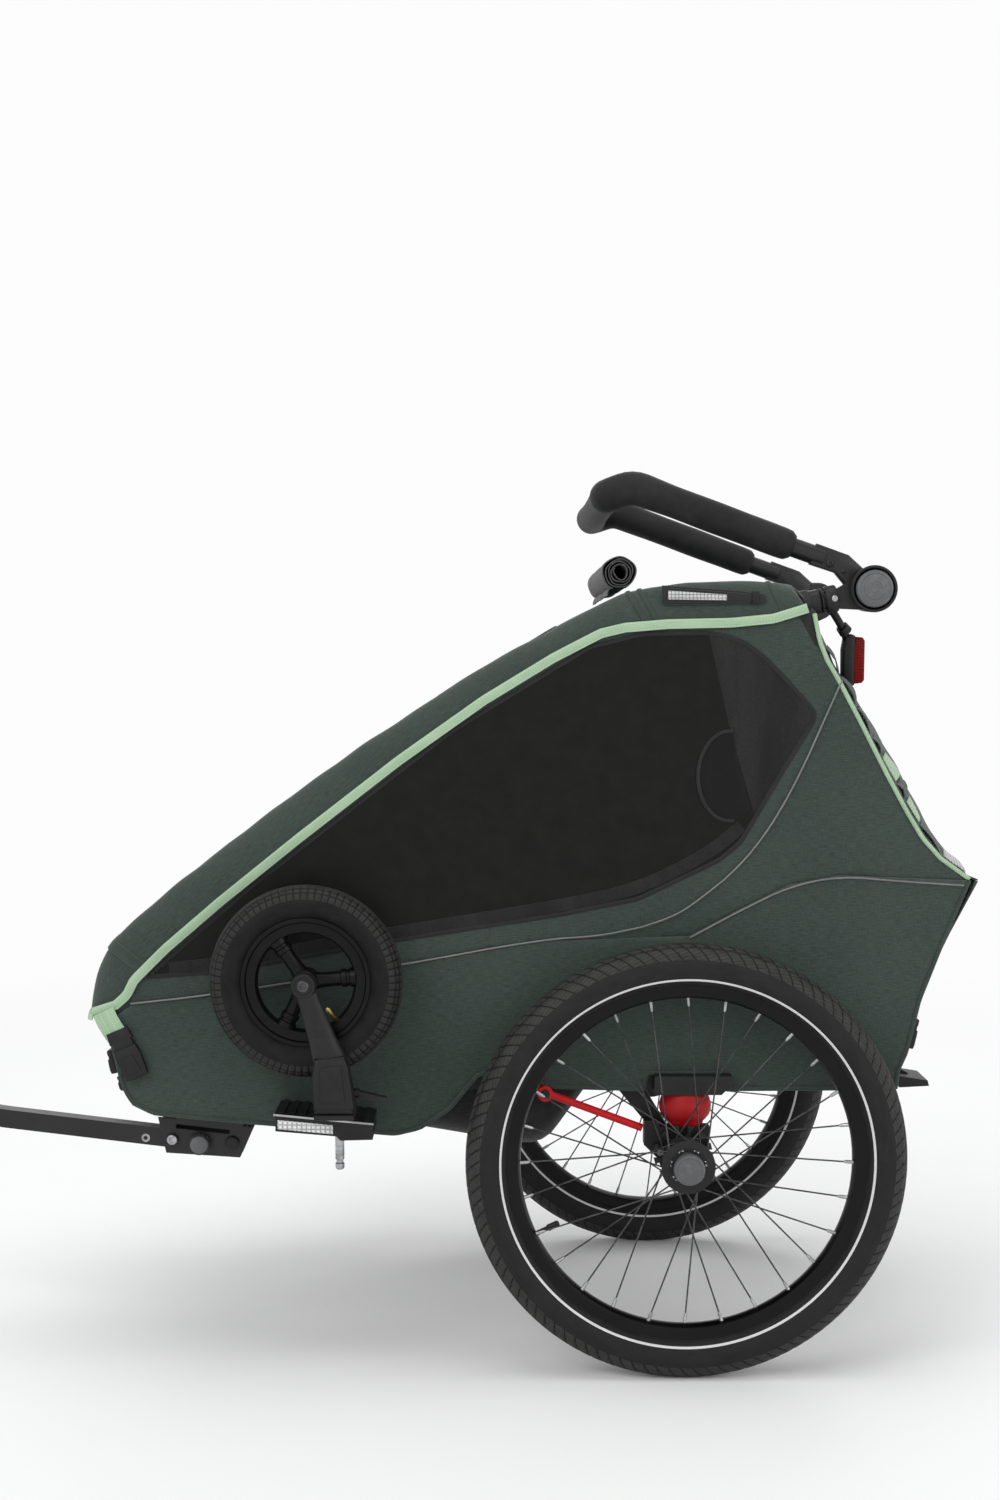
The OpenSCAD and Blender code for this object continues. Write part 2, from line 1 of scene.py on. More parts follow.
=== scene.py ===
import math
import bmesh
import bpy
import numpy as np
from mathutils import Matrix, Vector
from mathutils.geometry import delaunay_2d_cdt


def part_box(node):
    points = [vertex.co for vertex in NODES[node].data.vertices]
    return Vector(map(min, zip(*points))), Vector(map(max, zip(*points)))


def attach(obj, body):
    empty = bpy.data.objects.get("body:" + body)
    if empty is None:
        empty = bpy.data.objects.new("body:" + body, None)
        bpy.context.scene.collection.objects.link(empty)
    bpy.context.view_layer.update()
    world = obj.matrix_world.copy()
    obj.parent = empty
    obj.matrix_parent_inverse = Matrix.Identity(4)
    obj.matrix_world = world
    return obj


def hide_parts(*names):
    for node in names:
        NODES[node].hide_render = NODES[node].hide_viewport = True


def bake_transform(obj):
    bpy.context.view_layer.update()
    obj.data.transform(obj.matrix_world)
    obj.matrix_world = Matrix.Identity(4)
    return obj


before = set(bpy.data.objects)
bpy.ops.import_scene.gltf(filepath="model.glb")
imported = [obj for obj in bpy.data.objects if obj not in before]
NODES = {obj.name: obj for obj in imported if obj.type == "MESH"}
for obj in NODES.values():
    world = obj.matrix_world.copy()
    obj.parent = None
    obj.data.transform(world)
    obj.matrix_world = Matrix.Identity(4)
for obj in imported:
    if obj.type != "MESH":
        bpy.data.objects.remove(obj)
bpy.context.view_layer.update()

TAU = 2 * math.pi
SIDES = ((-1, "left"), (1, "right"))

# Shapes are written in millimetres from the axle; AX moves them to the frame's origin.
TYRE_LOW, TYRE_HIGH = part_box("tyre_left")
AX = (TYRE_LOW.x + TYRE_HIGH.x) * 500
HUB_Z = (TYRE_LOW.z + TYRE_HIGH.z) * 500
WHEEL_R = (TYRE_HIGH.z - TYRE_LOW.z) * 500
WHEEL_Y = -(TYRE_LOW.y + TYRE_HIGH.y) * 500
TREAD_BLOCKS = 104  # slanted blocks round the big tyre
LUGS = 78  # lugs round the small tyre


def at(x, y, z):
    return ((x + AX) / 1000, y / 1000, z / 1000)


# ---- camera and light
def stand(name, data, place, ahead):
    """Puts a camera or a lamp at a place, looking ahead."""
    ob = bpy.data.objects.new(name, data)
    bpy.context.scene.collection.objects.link(ob)
    ob.location = place
    ob.rotation_mode = "QUATERNION"
    ob.rotation_quaternion = ahead.to_track_quat("-Z", "Y")
    return ob


def camera():
    cam = bpy.data.cameras.new("camera")
    cam.sensor_width = 36
    cam.lens = 50.88
    cam.shift_y = 0.1187
    cam.clip_start, cam.clip_end = 0.05, 60
    pitch, yaw = math.radians(6.81), math.radians(0.35)
    ahead = Vector((math.sin(yaw) * math.cos(pitch), math.cos(yaw) * math.cos(pitch), -math.sin(pitch)))
    bpy.context.scene.camera = stand("camera", cam, (AX / 1000 - 0.229, -2.689, 0.810), ahead)


def area_light(name, place, target, size, power):
    light = bpy.data.lights.new(name, "AREA")
    light.shape = "RECTANGLE"
    light.size, light.size_y = size
    light.energy = power
    stand(name, light, place, Vector(target) - Vector(place))


# ---- shader values and materials
def shader_math(operation, swap=False):
    def use(a, b=0.0):
        return a.mat.node("Math", {0: b, 1: a} if swap else {0: a, 1: b}, operation=operation)
    return use


class Val:
    """One output of a shader node, so that a formula over shader values reads as a formula."""
    def __init__(self, mat, socket):
        self.mat, self.socket = mat, socket

    __add__ = shader_math("ADD")
    __sub__ = shader_math("SUBTRACT")
    __rsub__ = shader_math("SUBTRACT", swap=True)
    __mul__ = shader_math("MULTIPLY")
    __lt__ = shader_math("LESS_THAN")
    __gt__ = shader_math("GREATER_THAN")
    __abs__ = shader_math("ABSOLUTE")
    fract = shader_math("FRACT")
    sin = shader_math("SINE")
    max = shader_math("MAXIMUM")
    min = shader_math("MINIMUM")
    pingpong = shader_math("PINGPONG")

    def clamp(self):
        self.socket.node.use_clamp = True
        return self

    def ramp(self, low, high, a=0.0, b=1.0, **more):
        values = {"Value": self, "From Min": low, "From Max": high, "To Min": a, "To Max": b}
        return self.mat.node("MapRange", values, **more)


class Mat:
    """A node material over one coordinate: the piece's UV, or its Object space."""
    def __init__(self, name, space="UV"):
        self.m = bpy.data.materials.new(name)
        self.m.use_nodes = True
        self.t = self.m.node_tree
        self.t.nodes.clear()
        self.p = Val(self, self.t.nodes.new("ShaderNodeTexCoord").outputs[space])

    def node(self, kind, inputs, out=0, **props):
        n = self.t.nodes.new("ShaderNode" + kind)
        for k, v in props.items():
            setattr(n, k, v)
        for k, v in inputs.items():
            if isinstance(v, Val):
                self.t.links.new(v.socket, n.inputs[k])
            else:
                n.inputs[k].default_value = (*v, 1) if n.inputs[k].type == "RGBA" else v
        return Val(self, n.outputs[out])

    def xy(self):
        split = self.node("SeparateXYZ", {0: self.p}).socket.node
        return Val(self, split.outputs[0]), Val(self, split.outputs[1])

    def noise(self, scale, detail=3.0, rough=0.55):
        """Noise at one scale, or at a scale for each axis."""
        p = self.p
        if isinstance(scale, tuple):
            p, scale = self.node("VectorMath", {0: p, 1: scale}, operation="MULTIPLY"), 1.0
        return self.node("TexNoise", {"Vector": p, "Scale": scale, "Detail": detail, "Roughness": rough})

    def mix(self, fac, a, b):
        return self.node("Mix", {0: fac, 6: a, 7: b}, out=2, data_type="RGBA")

    def bump(self, height, distance, strength=1.0, normal=None):
        chain = {} if normal is None else {"Normal": normal}
        return self.node("Bump", {"Height": height, "Distance": distance, "Strength": strength, **chain})

    def surface(self, color, rough, normal, metal=0.0, sheen=0.0, sheen_rough=0.5, coat=0.0, coat_rough=0.03,
                spec=0.5):
        return self.node("BsdfPrincipled", {
            "Base Color": color, "Roughness": rough, "Metallic": metal, "Normal": normal, "Sheen Weight": sheen,
            "Sheen Roughness": sheen_rough, "Coat Weight": coat, "Coat Roughness": coat_rough,
            "Specular IOR Level": spec})

    def see_through(self, share, body, tint):
        """The surface, with a share of tinted light let through."""
        clear = self.node("BsdfTransparent", {"Color": (tint, tint, tint)})
        return self.done(self.node("MixShader", {0: share, 1: body, 2: clear}))

    def done(self, shader):
        self.t.links.new(shader.socket, self.t.nodes.new("ShaderNodeOutputMaterial").inputs[0])
        return self.m


def fabric(name, dark, light, rough=0.88, sheen=0.25, crease=1.0, pitch=0.0011):
    """Heather cloth: fine yarns in both directions, slubs, a slow change of tone and soft creases."""
    m = Mat(name)
    x, y = m.xy()
    weave = (x * (TAU / pitch)).sin() * (y * (TAU / pitch)).sin()
    slub = m.noise((90, 1100, 1), 2.0)
    both = slub * 0.62 + m.noise((1300, 110, 1), 2.0) * 0.38
    fac = both.ramp(0.36, 0.64) + m.noise((5, 5, 1)).ramp(0.3, 0.7, -0.16, 0.16)
    col = m.mix((fac + weave * 0.10).clamp(), dark, light)
    n = m.bump(m.noise((7, 11, 1), 4.0, 0.5), 0.004 * crease, 0.55)
    n = m.bump(weave + slub * 1.4, 0.00022, 0.7, n)
    return m.done(m.surface(col, both.ramp(0.3, 0.7, rough - 0.06, rough + 0.05), n, sheen=sheen, spec=0.28))


def webbing(name, dark, light, stitch, edge, rib=0.0016):
    """Woven band: ribs across it, worn high spots and rows of stitches along both edges.
    U runs along the band and V across it, both in metres."""
    m = Mat(name)
    u, v = m.xy()
    ribs = (u * (TAU / rib)).sin()
    yarn = (v * (TAU / 0.0012) + ribs * 0.9).sin()
    grain, wear = m.noise((700, 900, 1), 2.0), m.noise((22, 60, 1))
    fac = (ribs * 0.13 + yarn * 0.10) + (grain.ramp(0.3, 0.7, -0.1, 0.35) + wear.ramp(0.35, 0.65, 0.1, 0.45))
    stitches = (abs(abs(v) - edge) < 0.0006) * ((u * (1 / 0.0034)).fract() < 0.66)
    col = m.mix(stitches, m.mix(fac.clamp(), dark, light), stitch)
    n = m.bump(ribs * 0.6 + yarn * 0.4, 0.00025, 0.8)
    n = m.bump(stitches, 0.0005, 0.8, n)
    return m.done(m.surface(col, 0.8, n, sheen=0.2, spec=0.3))


def moulded(name, dark, light, rough=0.5, grain=1.0):
    """Moulded nylon: a fine spark texture, slight flow marks and rubbed, paler spots."""
    m = Mat(name, "Object")
    flow, rub = m.noise((18.0, 18.0, 45.0), 4.0), m.noise(70.0, 5.0, 0.7)
    col = m.mix((flow.ramp(0.35, 0.7, 0.0, 0.35) + rub.ramp(0.52, 0.72, 0.0, 0.5)).clamp(), dark, light)
    n = m.bump(m.noise(1500.0, 2.0, 0.6), 0.00012 * grain, 0.6)
    n = m.bump(flow, 0.0006, 0.15, n)
    return m.done(m.surface(col, rub.ramp(0.35, 0.7, rough - 0.05, rough + 0.12), n, spec=0.3))


def painted(name, dark, light, rough=0.38, coat=0.1, spec=0.35):
    """Powder coat: orange peel, dust in the hollows and a few rubbed marks."""
    m = Mat(name, "Object")
    dust, marks = m.noise(12.0, 5.0, 0.6), m.noise((90, 30, 260), 4.0, 0.75)
    col = m.mix((dust.ramp(0.4, 0.75, 0.0, 0.45) + marks.ramp(0.62, 0.74, 0.0, 0.5)).clamp(), dark, light)
    r = dust.ramp(0.3, 0.7, rough - 0.06, rough + 0.1) + marks.ramp(0.6, 0.75, 0.0, 0.15)
    peel = m.bump(m.noise(420.0, 2.0, 0.4), 0.00025, 0.35)
    return m.done(m.surface(col, r, peel, coat=coat, coat_rough=0.25, spec=spec))


def steel(name, dark, light, rough=0.28):
    m = Mat(name, "Object")
    grain, stain = m.noise((40, 40, 900), 3.0, 0.6), m.noise(45.0, 4.0, 0.65)
    col = m.mix((grain.ramp(0.3, 0.7, 0.0, 0.5) + stain.ramp(0.45, 0.7, 0.0, 0.5)).clamp(), light, dark)
    r = stain.ramp(0.3, 0.7, rough - 0.05, rough + 0.18)
    return m.done(m.surface(col, r, m.bump(grain, 0.00008, 0.5), metal=1.0))


def film(name):
    """Tinted film over mesh: near black, faintly glossy, with soft tension waves. A little light gets through."""
    m = Mat(name)
    dust, scuff = m.noise((40, 40, 1), 5.0, 0.7), m.noise((240, 18, 1), 3.0, 0.7)
    col = m.mix(dust.ramp(0.4, 0.8), (0.0062, 0.0058, 0.0054), (0.0105, 0.0100, 0.0094))
    r = dust.ramp(0.3, 0.75, 0.40, 0.52) + scuff.ramp(0.6, 0.75, 0.0, 0.12)
    n = m.bump(m.noise((2.6, 5.0, 1), 2.0, 0.4), 0.010, 0.3)
    return m.see_through(0.06, m.surface(col, r, n, spec=0.14), 0.5)


def net(name):
    """Fine black mesh cloth with wrinkles, their crests painted lighter as a painted highlight; the holes let some
    light through.
    """
    m = Mat(name)
    x, y = m.xy()
    k = TAU / 0.0018
    holes = (((x + y) * k).sin() * ((x - y) * k).sin()) > 0.45
    folds, fine = m.noise((24, 5, 1), 3.0, 0.5), m.noise((300, 300, 1), 2.0)
    # the fold noise also lightens the colour on the wrinkle crests: a painted highlight, mixed with random tone from
    # the fine noise
    fac = (folds.ramp(0.3, 0.75) + fine.ramp(0.3, 0.7, -0.2, 0.2)).clamp()
    col = m.mix(fac, (0.004, 0.004, 0.004), (0.018, 0.0175, 0.017))
    n = m.bump(holes, 0.0003, 0.6, m.bump(folds, 0.012, 0.6))
    return m.see_through(holes * 0.2, m.surface(col, 0.75, n, sheen=0.2, spec=0.25), 0.35)


def retro(name, base, light, cell=0.0):
    """Silver reflective tape, with a honeycomb of raised lines where cell is given."""
    m = Mat(name)
    grain, dirt = m.noise((1800, 1800, 1), 2.0), m.noise((60, 90, 1), 4.0, 0.7)
    col = m.mix((grain.ramp(0.3, 0.7, 0, 0.6) + dirt.ramp(0.3, 0.7, -0.2, 0.3)).clamp(), base, light)
    n = m.bump(grain, 0.0001, 0.5)
    if cell:
        cells = {"Vector": m.p, "Scale": 1 / cell, "Randomness": 0.12}
        line = m.node("TexVoronoi", cells, feature="DISTANCE_TO_EDGE") < 0.10
        col = m.mix(line, col, (0.17, 0.17, 0.175))
        n = m.bump(1.0 - line, 0.0004, 0.8, n)
    return m.done(m.surface(col, dirt.ramp(0.3, 0.7, 0.30, 0.5), n, metal=0.35, spec=0.6))


def foam_material(name):
    m = Mat(name, "Object")
    skin, soft = m.noise(90.0, 4.0, 0.6), m.noise(22.0)
    col = m.mix((skin.ramp(0.35, 0.7, 0.0, 0.6) + soft.ramp(0.4, 0.7, 0.0, 0.4)).clamp(),
                (0.007, 0.007, 0.0075), (0.020, 0.020, 0.0205))
    n = m.bump(m.node("TexVoronoi", {"Vector": m.p, "Scale": 1100.0}), 0.00035, 0.5)
    n = m.bump(soft, 0.004, 0.3, n)
    return m.done(m.surface(col, skin.ramp(0.3, 0.7, 0.62, 0.78), n, sheen=0.06, sheen_rough=0.45, spec=0.2))


def rubber(name, dark, light, rough, spec, tread=None, stripe=None):
    """Tyre rubber. U runs round the tyre and V across its section from the middle of the tread, in metres.
    tread is the half width of a tread of slanted blocks, stripe the V range of a reflective ring; without a tread
    there are two rows of lugs, half a pitch apart, beside a plain middle rib."""
    m = Mat(name)
    u, v = m.xy()
    off = abs(v)
    dust, grain = m.noise((30, 90, 1), 5.0, 0.7), m.noise((900, 900, 1), 2.0)
    col = m.mix((dust.ramp(0.35, 0.75, 0, 0.75) + grain.ramp(0.3, 0.7, -0.1, 0.25)).clamp(), dark, light)
    n = m.bump(grain, 0.00015, 0.5)
    if tread:
        on = off < tread
        slant = ((u + off * 0.75) * (TREAD_BLOCKS / (TAU * WHEEL_R / 1000))).fract()
        cut = abs(slant - 0.5) > 0.437
        sipe = (((u * 0.35 - off * 1.2) * (1 / 0.0052)).fract() < 0.15) * 0.55
        groove = abs(off - 0.0125) < 0.0009
        cut = cut.max(sipe).max(groove) * on
        # deep is the near-black colour painted into the cut grooves: painted shade; depth[0] is how strongly it is
        # mixed in
        worn, face, deep, depth = (0.25, 0.6), (0.060, 0.059, 0.057), (0.003, 0.003, 0.003), (0.9, 0.0012, 0.9)
    else:
        on = off < 0.026
        along = (u * (LUGS / (TAU * 0.110)) + (v > 0.0) * 0.5).fract()
        row = abs(abs(off - 0.0145) - 0.003) < 0.0009
        cut = (abs(along - 0.5) > 0.40).max(row) * (off > 0.0055) * on
        worn, face, deep, depth = (0.35, 0.75), (0.034, 0.0335, 0.0325), (0.002, 0.002, 0.002), (0.85, 0.0010, 0.8)
    # the cut grooves of both tyres are mixed towards the deep colour: painted shade in the recesses
    col = m.mix(cut * depth[0], m.mix(on * dust.ramp(0.3, 0.7, *worn), col, face), deep)
    n = m.bump(1.0 - cut, depth[1], depth[2], n)
    rings = (u * (TAU / 0.0026)).sin() * 0.4 + (off * (TAU / 0.0021)).sin()
    n = m.bump(rings * (1.0 - on), 0.00012, 0.6, n)
    if stripe:
        a, b = stripe
        band = (abs(off - (a + b) / 2) < (b - a) / 2) * dust.ramp(0.72, 0.8, 1.0, 0.4)
        col = m.mix(band, col, m.mix(grain.ramp(0.3, 0.7), (0.50, 0.50, 0.50), (0.74, 0.74, 0.74)))
    return m.done(m.surface(col, dust.ramp(0.3, 0.75, rough, rough + 0.24), n, spec=spec))


def lens_material(name, deep, bright, cell=0.0035, coat=0.6, spec=0.4):
    """Moulded reflector: a grid of small prisms under a glossy face."""
    m = Mat(name)
    x, y = m.xy()
    relief = (x * (1 / cell)).pingpong(0.5).min((y * (1 / cell)).pingpong(0.5))
    dust = m.noise((90, 90, 1), 4.0, 0.7)
    col = m.mix((relief.ramp(0.0, 0.3) + dust.ramp(0.4, 0.7, -0.15, 0.15)).clamp(), deep, bright)
    return m.done(m.surface(col, dust.ramp(0.3, 0.7, 0.10, 0.24), m.bump(relief, 0.001, 0.45), coat=coat, spec=spec))


def grey(*values):
    return tuple((v, v, v) for v in values)


GREEN = fabric("green_fabric", (0.020, 0.031, 0.026), (0.048, 0.070, 0.059), crease=0.8)
BLACK_CLOTH = fabric("black_cloth", (0.008, 0.008, 0.009), (0.026, 0.026, 0.028), rough=0.9, crease=1.1)
POCKET_CLOTH = fabric("pocket_cloth", *grey(0.002, 0.008), rough=0.9, sheen=0.05)
SHADE_CLOTH = fabric("shade_cloth", (0.045, 0.045, 0.046), (0.105, 0.105, 0.106), rough=0.85, crease=1.1)
SEAT = fabric("seat_cloth", (0.035, 0.037, 0.040), (0.085, 0.089, 0.094), rough=0.92, crease=0.7, pitch=0.0016)
MINT = webbing("mint_binding", (0.27, 0.41, 0.255), (0.43, 0.57, 0.40), (0.46, 0.60, 0.43), 0.0042, rib=0.0013)
GREEN_WEB = webbing("green_webbing", (0.018, 0.028, 0.023), (0.050, 0.070, 0.059), (0.06, 0.08, 0.07), 0.007)
BLACK_WEB = webbing("black_webbing", (0.006, 0.006, 0.0065), (0.022, 0.022, 0.023), (0.03, 0.03, 0.031), 0.008)
PLASTIC = moulded("black_nylon", (0.006, 0.006, 0.0065), (0.020, 0.020, 0.021), rough=0.46)
COARSE_PLASTIC = moulded("coarse_nylon", (0.012, 0.012, 0.013), (0.040, 0.040, 0.042), rough=0.62, grain=2.2)
GREY_PLASTIC = moulded("grey_nylon", (0.085, 0.087, 0.09), (0.17, 0.173, 0.176), rough=0.42)
RED_RUBBER = moulded("red_polyurethane", (0.30, 0.001, 0.003), (0.46, 0.004, 0.008))
FRAME_PAINT = painted("black_powder_coat", (0.006, 0.006, 0.0065), (0.020, 0.020, 0.021))
RIM_PAINT = painted("black_anodised", (0.002, 0.002, 0.0022), (0.008, 0.008, 0.0085), rough=0.30, coat=0.0,
                    spec=0.16)
RED_PAINT = painted("red_powder_coat", (0.50, 0.004, 0.006), (0.62, 0.012, 0.014), rough=0.36, coat=0.0, spec=0.25)
STEEL = steel("bright_steel", (0.16, 0.16, 0.165), (0.50, 0.50, 0.51))
SPOKE = steel("spoke_steel", (0.02, 0.02, 0.022), (0.10, 0.10, 0.105), rough=0.32)
BRASS = steel("brass_valve", (0.25, 0.17, 0.05), (0.62, 0.47, 0.17), rough=0.34)
FILM = film("window_film")
NET = net("window_mesh")
TAPE = retro("reflective_piping", (0.11, 0.112, 0.11), (0.22, 0.225, 0.22))
HONEYCOMB = retro("reflective_patch", *grey(0.42, 0.72), cell=0.0042)
FOAM = foam_material("foam")
TYRE = rubber("tyre_rubber", (0.006, 0.006, 0.006), (0.019, 0.019, 0.0185), 0.48, 0.22, 0.030, (0.0530, 0.0560))
SMALL_TYRE = rubber("small_tyre_rubber", (0.003, 0.003, 0.003), (0.013, 0.013, 0.0125), 0.42, 0.16)
RED_LENS = lens_material("red_lens", (0.06, 0.0005, 0.0005), (0.24, 0.002, 0.003), coat=0.0, spec=0.12)
WHITE_LENS = lens_material("white_reflector", (0.26, 0.265, 0.27), (0.74, 0.75, 0.75), cell=0.0055)


# ---- mesh helpers
def unit(v):
    """One direction, or one to a row, brought to length 1."""
    v = np.asarray(v, float)
    return v / np.linalg.norm(v, axis=-1, keepdims=True)


def run(pts):
    """Length along a line up to each of its points."""
    return np.concatenate([[0], np.cumsum(np.linalg.norm(np.diff(np.asarray(pts, float), axis=0), axis=1))])


def turn(n):
    return np.linspace(0, TAU, n, endpoint=False)


def piece(name, verts, faces, material, loops=None, smooth=40, materials=None, face_mat=None):
    """A mesh object from points in millimetres from the axle. loops holds one UV per face corner, in metres."""
    me = bpy.data.meshes.new(name)
    v = np.array(verts, float).reshape(-1, 3)
    v[:, 0] += AX
    me.from_pydata((v / 1000).tolist(), [], [tuple(int(i) for i in f) for f in faces])
    if loops is not None:
        layer = me.uv_layers.new(name="UVMap")
        layer.data.foreach_set("uv", np.asarray(loops, np.float32).ravel())
    for mat in materials or [material]:
        me.materials.append(mat)
    if face_mat is not None:
        me.polygons.foreach_set("material_index", np.asarray(face_mat, np.int32))
    me.validate()
    me.shade_smooth()
    if smooth and smooth < 180:
        me.set_sharp_from_angle(angle=math.radians(smooth))
    ob = bpy.data.objects.new(name, me)
    bpy.context.scene.collection.objects.link(ob)
    return ob


def grid(P, wrap_u=False, wrap_v=False, uv=None, flip=False):
    """Faces and UVs of a grid of points P[i][j].
    uv gives U by row and V by column, one longer where the grid wraps."""
    P = np.asarray(P, float)
    nu, nv = P.shape[:2]
    if uv is None:
        du = np.linalg.norm(np.diff(P, axis=0, append=P[:1] if wrap_u else P[-1:]), axis=2).mean(1)
        dv = np.linalg.norm(np.diff(P, axis=1, append=P[:, :1] if wrap_v else P[:, -1:]), axis=2).mean(0)
        U = np.concatenate([[0], np.cumsum(du)]) / 1000
        V = np.concatenate([[0], np.cumsum(dv)]) / 1000
        V = V - V[-1] / 2 if not wrap_v else V
    else:
        U, V = np.asarray(uv[0], float), np.asarray(uv[1], float)
    faces, loops = [], []
    for i in range(nu if wrap_u else nu - 1):
        a, b = i, (i + 1) % nu
        for j in range(nv if wrap_v else nv - 1):
            c, d = j, (j + 1) % nv
            f = [a * nv + c, a * nv + d, b * nv + d, b * nv + c]
            l = [(U[i], V[j]), (U[i], V[j + 1]), (U[i + 1], V[j + 1]), (U[i + 1], V[j])]
            if flip:
                f.reverse()
                l.reverse()
            faces.append(f)
            loops.extend(l)
    return P.reshape(-1, 3), faces, loops


def join(*parts):
    """One set of vertices, faces and loops from several."""
    verts, faces, loops, n = [], [], [], 0
    for v, f, l in parts:
        v = np.asarray(v, float).reshape(-1, 3)
        verts.append(v)
        faces.extend([[i + n for i in q] for q in f])
        loops.extend(l)
        n += len(v)
    return np.concatenate(verts), faces, loops


def resample(pts, n=None, step=None):
    pts = np.asarray(pts, float)
    s = run(pts)
    t = np.linspace(0, s[-1], n or max(2, int(round(s[-1] / step)) + 1))
    return np.stack([np.interp(t, s, pts[:, k]) for k in range(pts.shape[1])], 1)


def smooth_line(pts, n=None, step=None, rounds=2):
    """Corner cutting that keeps the ends, then even spacing."""
    p = np.asarray(pts, float)
    for _ in range(rounds):
        a = p[:-1] * 0.75 + p[1:] * 0.25
        b = p[:-1] * 0.25 + p[1:] * 0.75
        mid = np.empty((2 * len(a), p.shape[1]))
        mid[0::2], mid[1::2] = a, b
        p = np.concatenate([p[:1], mid, p[-1:]])
    return resample(p, n, step)


def fillet(pts, radii, seg=8):
    """A polyline with its inner corners rounded."""
    pts = [np.asarray(p, float) for p in pts]
    out = [pts[0]]
    for i in range(1, len(pts) - 1):
        a, b, c = pts[i - 1], pts[i], pts[i + 1]
        u, v = unit(a - b), unit(c - b)
        half = math.acos(max(-1, min(1, float(u @ v)))) / 2
        if half > math.pi / 2 - 0.02:  # already straight
            out.append(b)
            continue
        cut = min(radii[i - 1] / math.tan(half), 0.48 * np.linalg.norm(a - b), 0.48 * np.linalg.norm(c - b))
        r = cut * math.tan(half)
        centre = b + unit(u + v) * (r / math.sin(half))
        p, q = b + u * cut - centre, b + v * cut - centre
        whole = math.acos(max(-1, min(1, float(p @ q) / (r * r))))
        for k in range(seg + 1):
            t = k / seg
            out.append(centre + (p * math.sin((1 - t) * whole) + q * math.sin(t * whole)) / math.sin(whole))
    out.append(pts[-1])
    return np.array(out)


def circ(r, n=16):
    return np.stack([r * np.cos(turn(n)), r * np.sin(turn(n))], 1)


def rrect(x0, x1, y0, y1, r, seg):
    """Rounded rectangle."""
    pts = []
    for cx, cy, a0 in ((x1 - r, y1 - r, 0), (x0 + r, y1 - r, 90), (x0 + r, y0 + r, 180), (x1 - r, y0 + r, 270)):
        for k in range(seg + 1):
            a = math.radians(a0 + 90 * k / seg)
            pts.append((cx + r * math.cos(a), cy + r * math.sin(a)))
    return np.array(pts)


def sweep(path, section, up=None, scale=None):
    """Section points (n, b) carried along the path. b leans towards up; without up the frame is carried along."""
    path = np.asarray(path, float)
    n = len(path)
    tan = unit(np.gradient(path, axis=0))
    if up is None:
        first = np.array([0, 1, 0]) if abs(tan[0][1]) < 0.9 else np.array([1, 0, 0])
        bs = [unit(first - tan[0] * (first @ tan[0]))]
        for t in tan[1:]:
            bs.append(unit(bs[-1] - t * (bs[-1] @ t)))
    else:
        bs = [unit(u - t * (u @ t)) for u, t in zip(np.broadcast_to(np.asarray(up, float), (n, 3)), tan)]
    bs = np.array(bs)[:, None]
    k = np.ones((n, 2)) if scale is None else np.broadcast_to(np.asarray(scale, float).reshape(n, -1), (n, 2))
    sec = section[None] * k[:, None]
    P = path[:, None] + np.cross(tan[:, None], bs) * sec[:, :, :1] + bs * sec[:, :, 1:]
    verts, faces, loops = grid(P, wrap_v=True, uv=(run(path) / 1000, run([*section, section[0]]) / 1000))
    m = len(section)
    faces += [list(range(m)), [(n - 1) * m + q for q in reversed(range(m))]]
    loops += [(x / 1000, y / 1000) for x, y in [*section, *section[::-1]]]
    return verts, faces, loops


def lathe(profile, origin, axis=(0, 1, 0), n=48, uv_r=None):
    """Profile points (along the axis, radius) turned about a line through origin."""
    axis = unit(axis)
    e1 = unit(np.cross(axis, (0, 0, 1) if abs(axis[2]) < 0.9 else (1, 0, 0)))
    prof = np.asarray(profile, float)
    a = turn(n)[:, None]
    ring = np.cos(a) * e1 + np.sin(a) * np.cross(axis, e1)
    P = np.asarray(origin, float) + prof[None, :, 0:1] * axis + ring[:, None] * prof[None, :, 1:2]
    U = np.linspace(0, TAU * (uv_r or max(prof[:, 1])) / 1000, n + 1)
    verts, faces, loops = grid(P, wrap_u=True, uv=(U, run(prof) / 1000))
    for j, way in ((0, 1), (len(prof) - 1, -1)):
        if prof[j, 1] > 0.01 and uv_r is None:
            faces.append([i * len(prof) + j for i in range(n)][::way])
            loops += [(0, 0)] * n
    return verts, faces, loops


def prism(outline, y0, y1, bevel=0.8):
    """Outline of X-Z points as a plate from y0 to y1 with softened edges."""
    p = np.asarray(outline, float)
    area = 0.5 * np.sum(p[:, 0] * np.roll(p[:, 1], -1) - np.roll(p[:, 0], -1) * p[:, 1])
    if area < 0:
        p = p[::-1]
    d = unit(np.roll(p, -1, 0) - p)
    nrm = np.stack([d[:, 1], -d[:, 0]], 1)
    m = nrm + np.roll(nrm, 1, 0)
    m = m / np.maximum((m * m).sum(1) / 2, 0.3)[:, None]
    rings = []
    b = min(bevel, (y1 - y0) / 2.5)
    for y, k in ((y0, b), (y0 + b * 0.3, b * 0.3), (y0 + b, 0), (y1 - b, 0), (y1 - b * 0.3, b * 0.3), (y1, b)):
        q = p - m * k
        rings.append(np.stack([q[:, 0], np.full(len(q), y), q[:, 1]], 1))
    v, f, l = grid(np.array(rings), wrap_v=True)
    n = len(p)
    f += [list(range(n))[::-1], [5 * n + i for i in range(n)]]
    l += [(x / 1000, z / 1000) for x, z in [*p[::-1], *p]]
    return turned(v, f, l)


def turned(v, f, l):
    """The same part with its faces looking the other way."""
    out, i = [], 0
    for q in f:
        out += l[i:i + len(q)][::-1]
        i += len(q)
    return v, [list(q)[::-1] for q in f], out


def mirrored(part):
    v, f, l = turned(*part)
    return v * [1, -1, 1], f, l


def on_hand(part, side):
    """A part written for the right side, brought to the given side."""
    return part if side > 0 else mirrored(part)


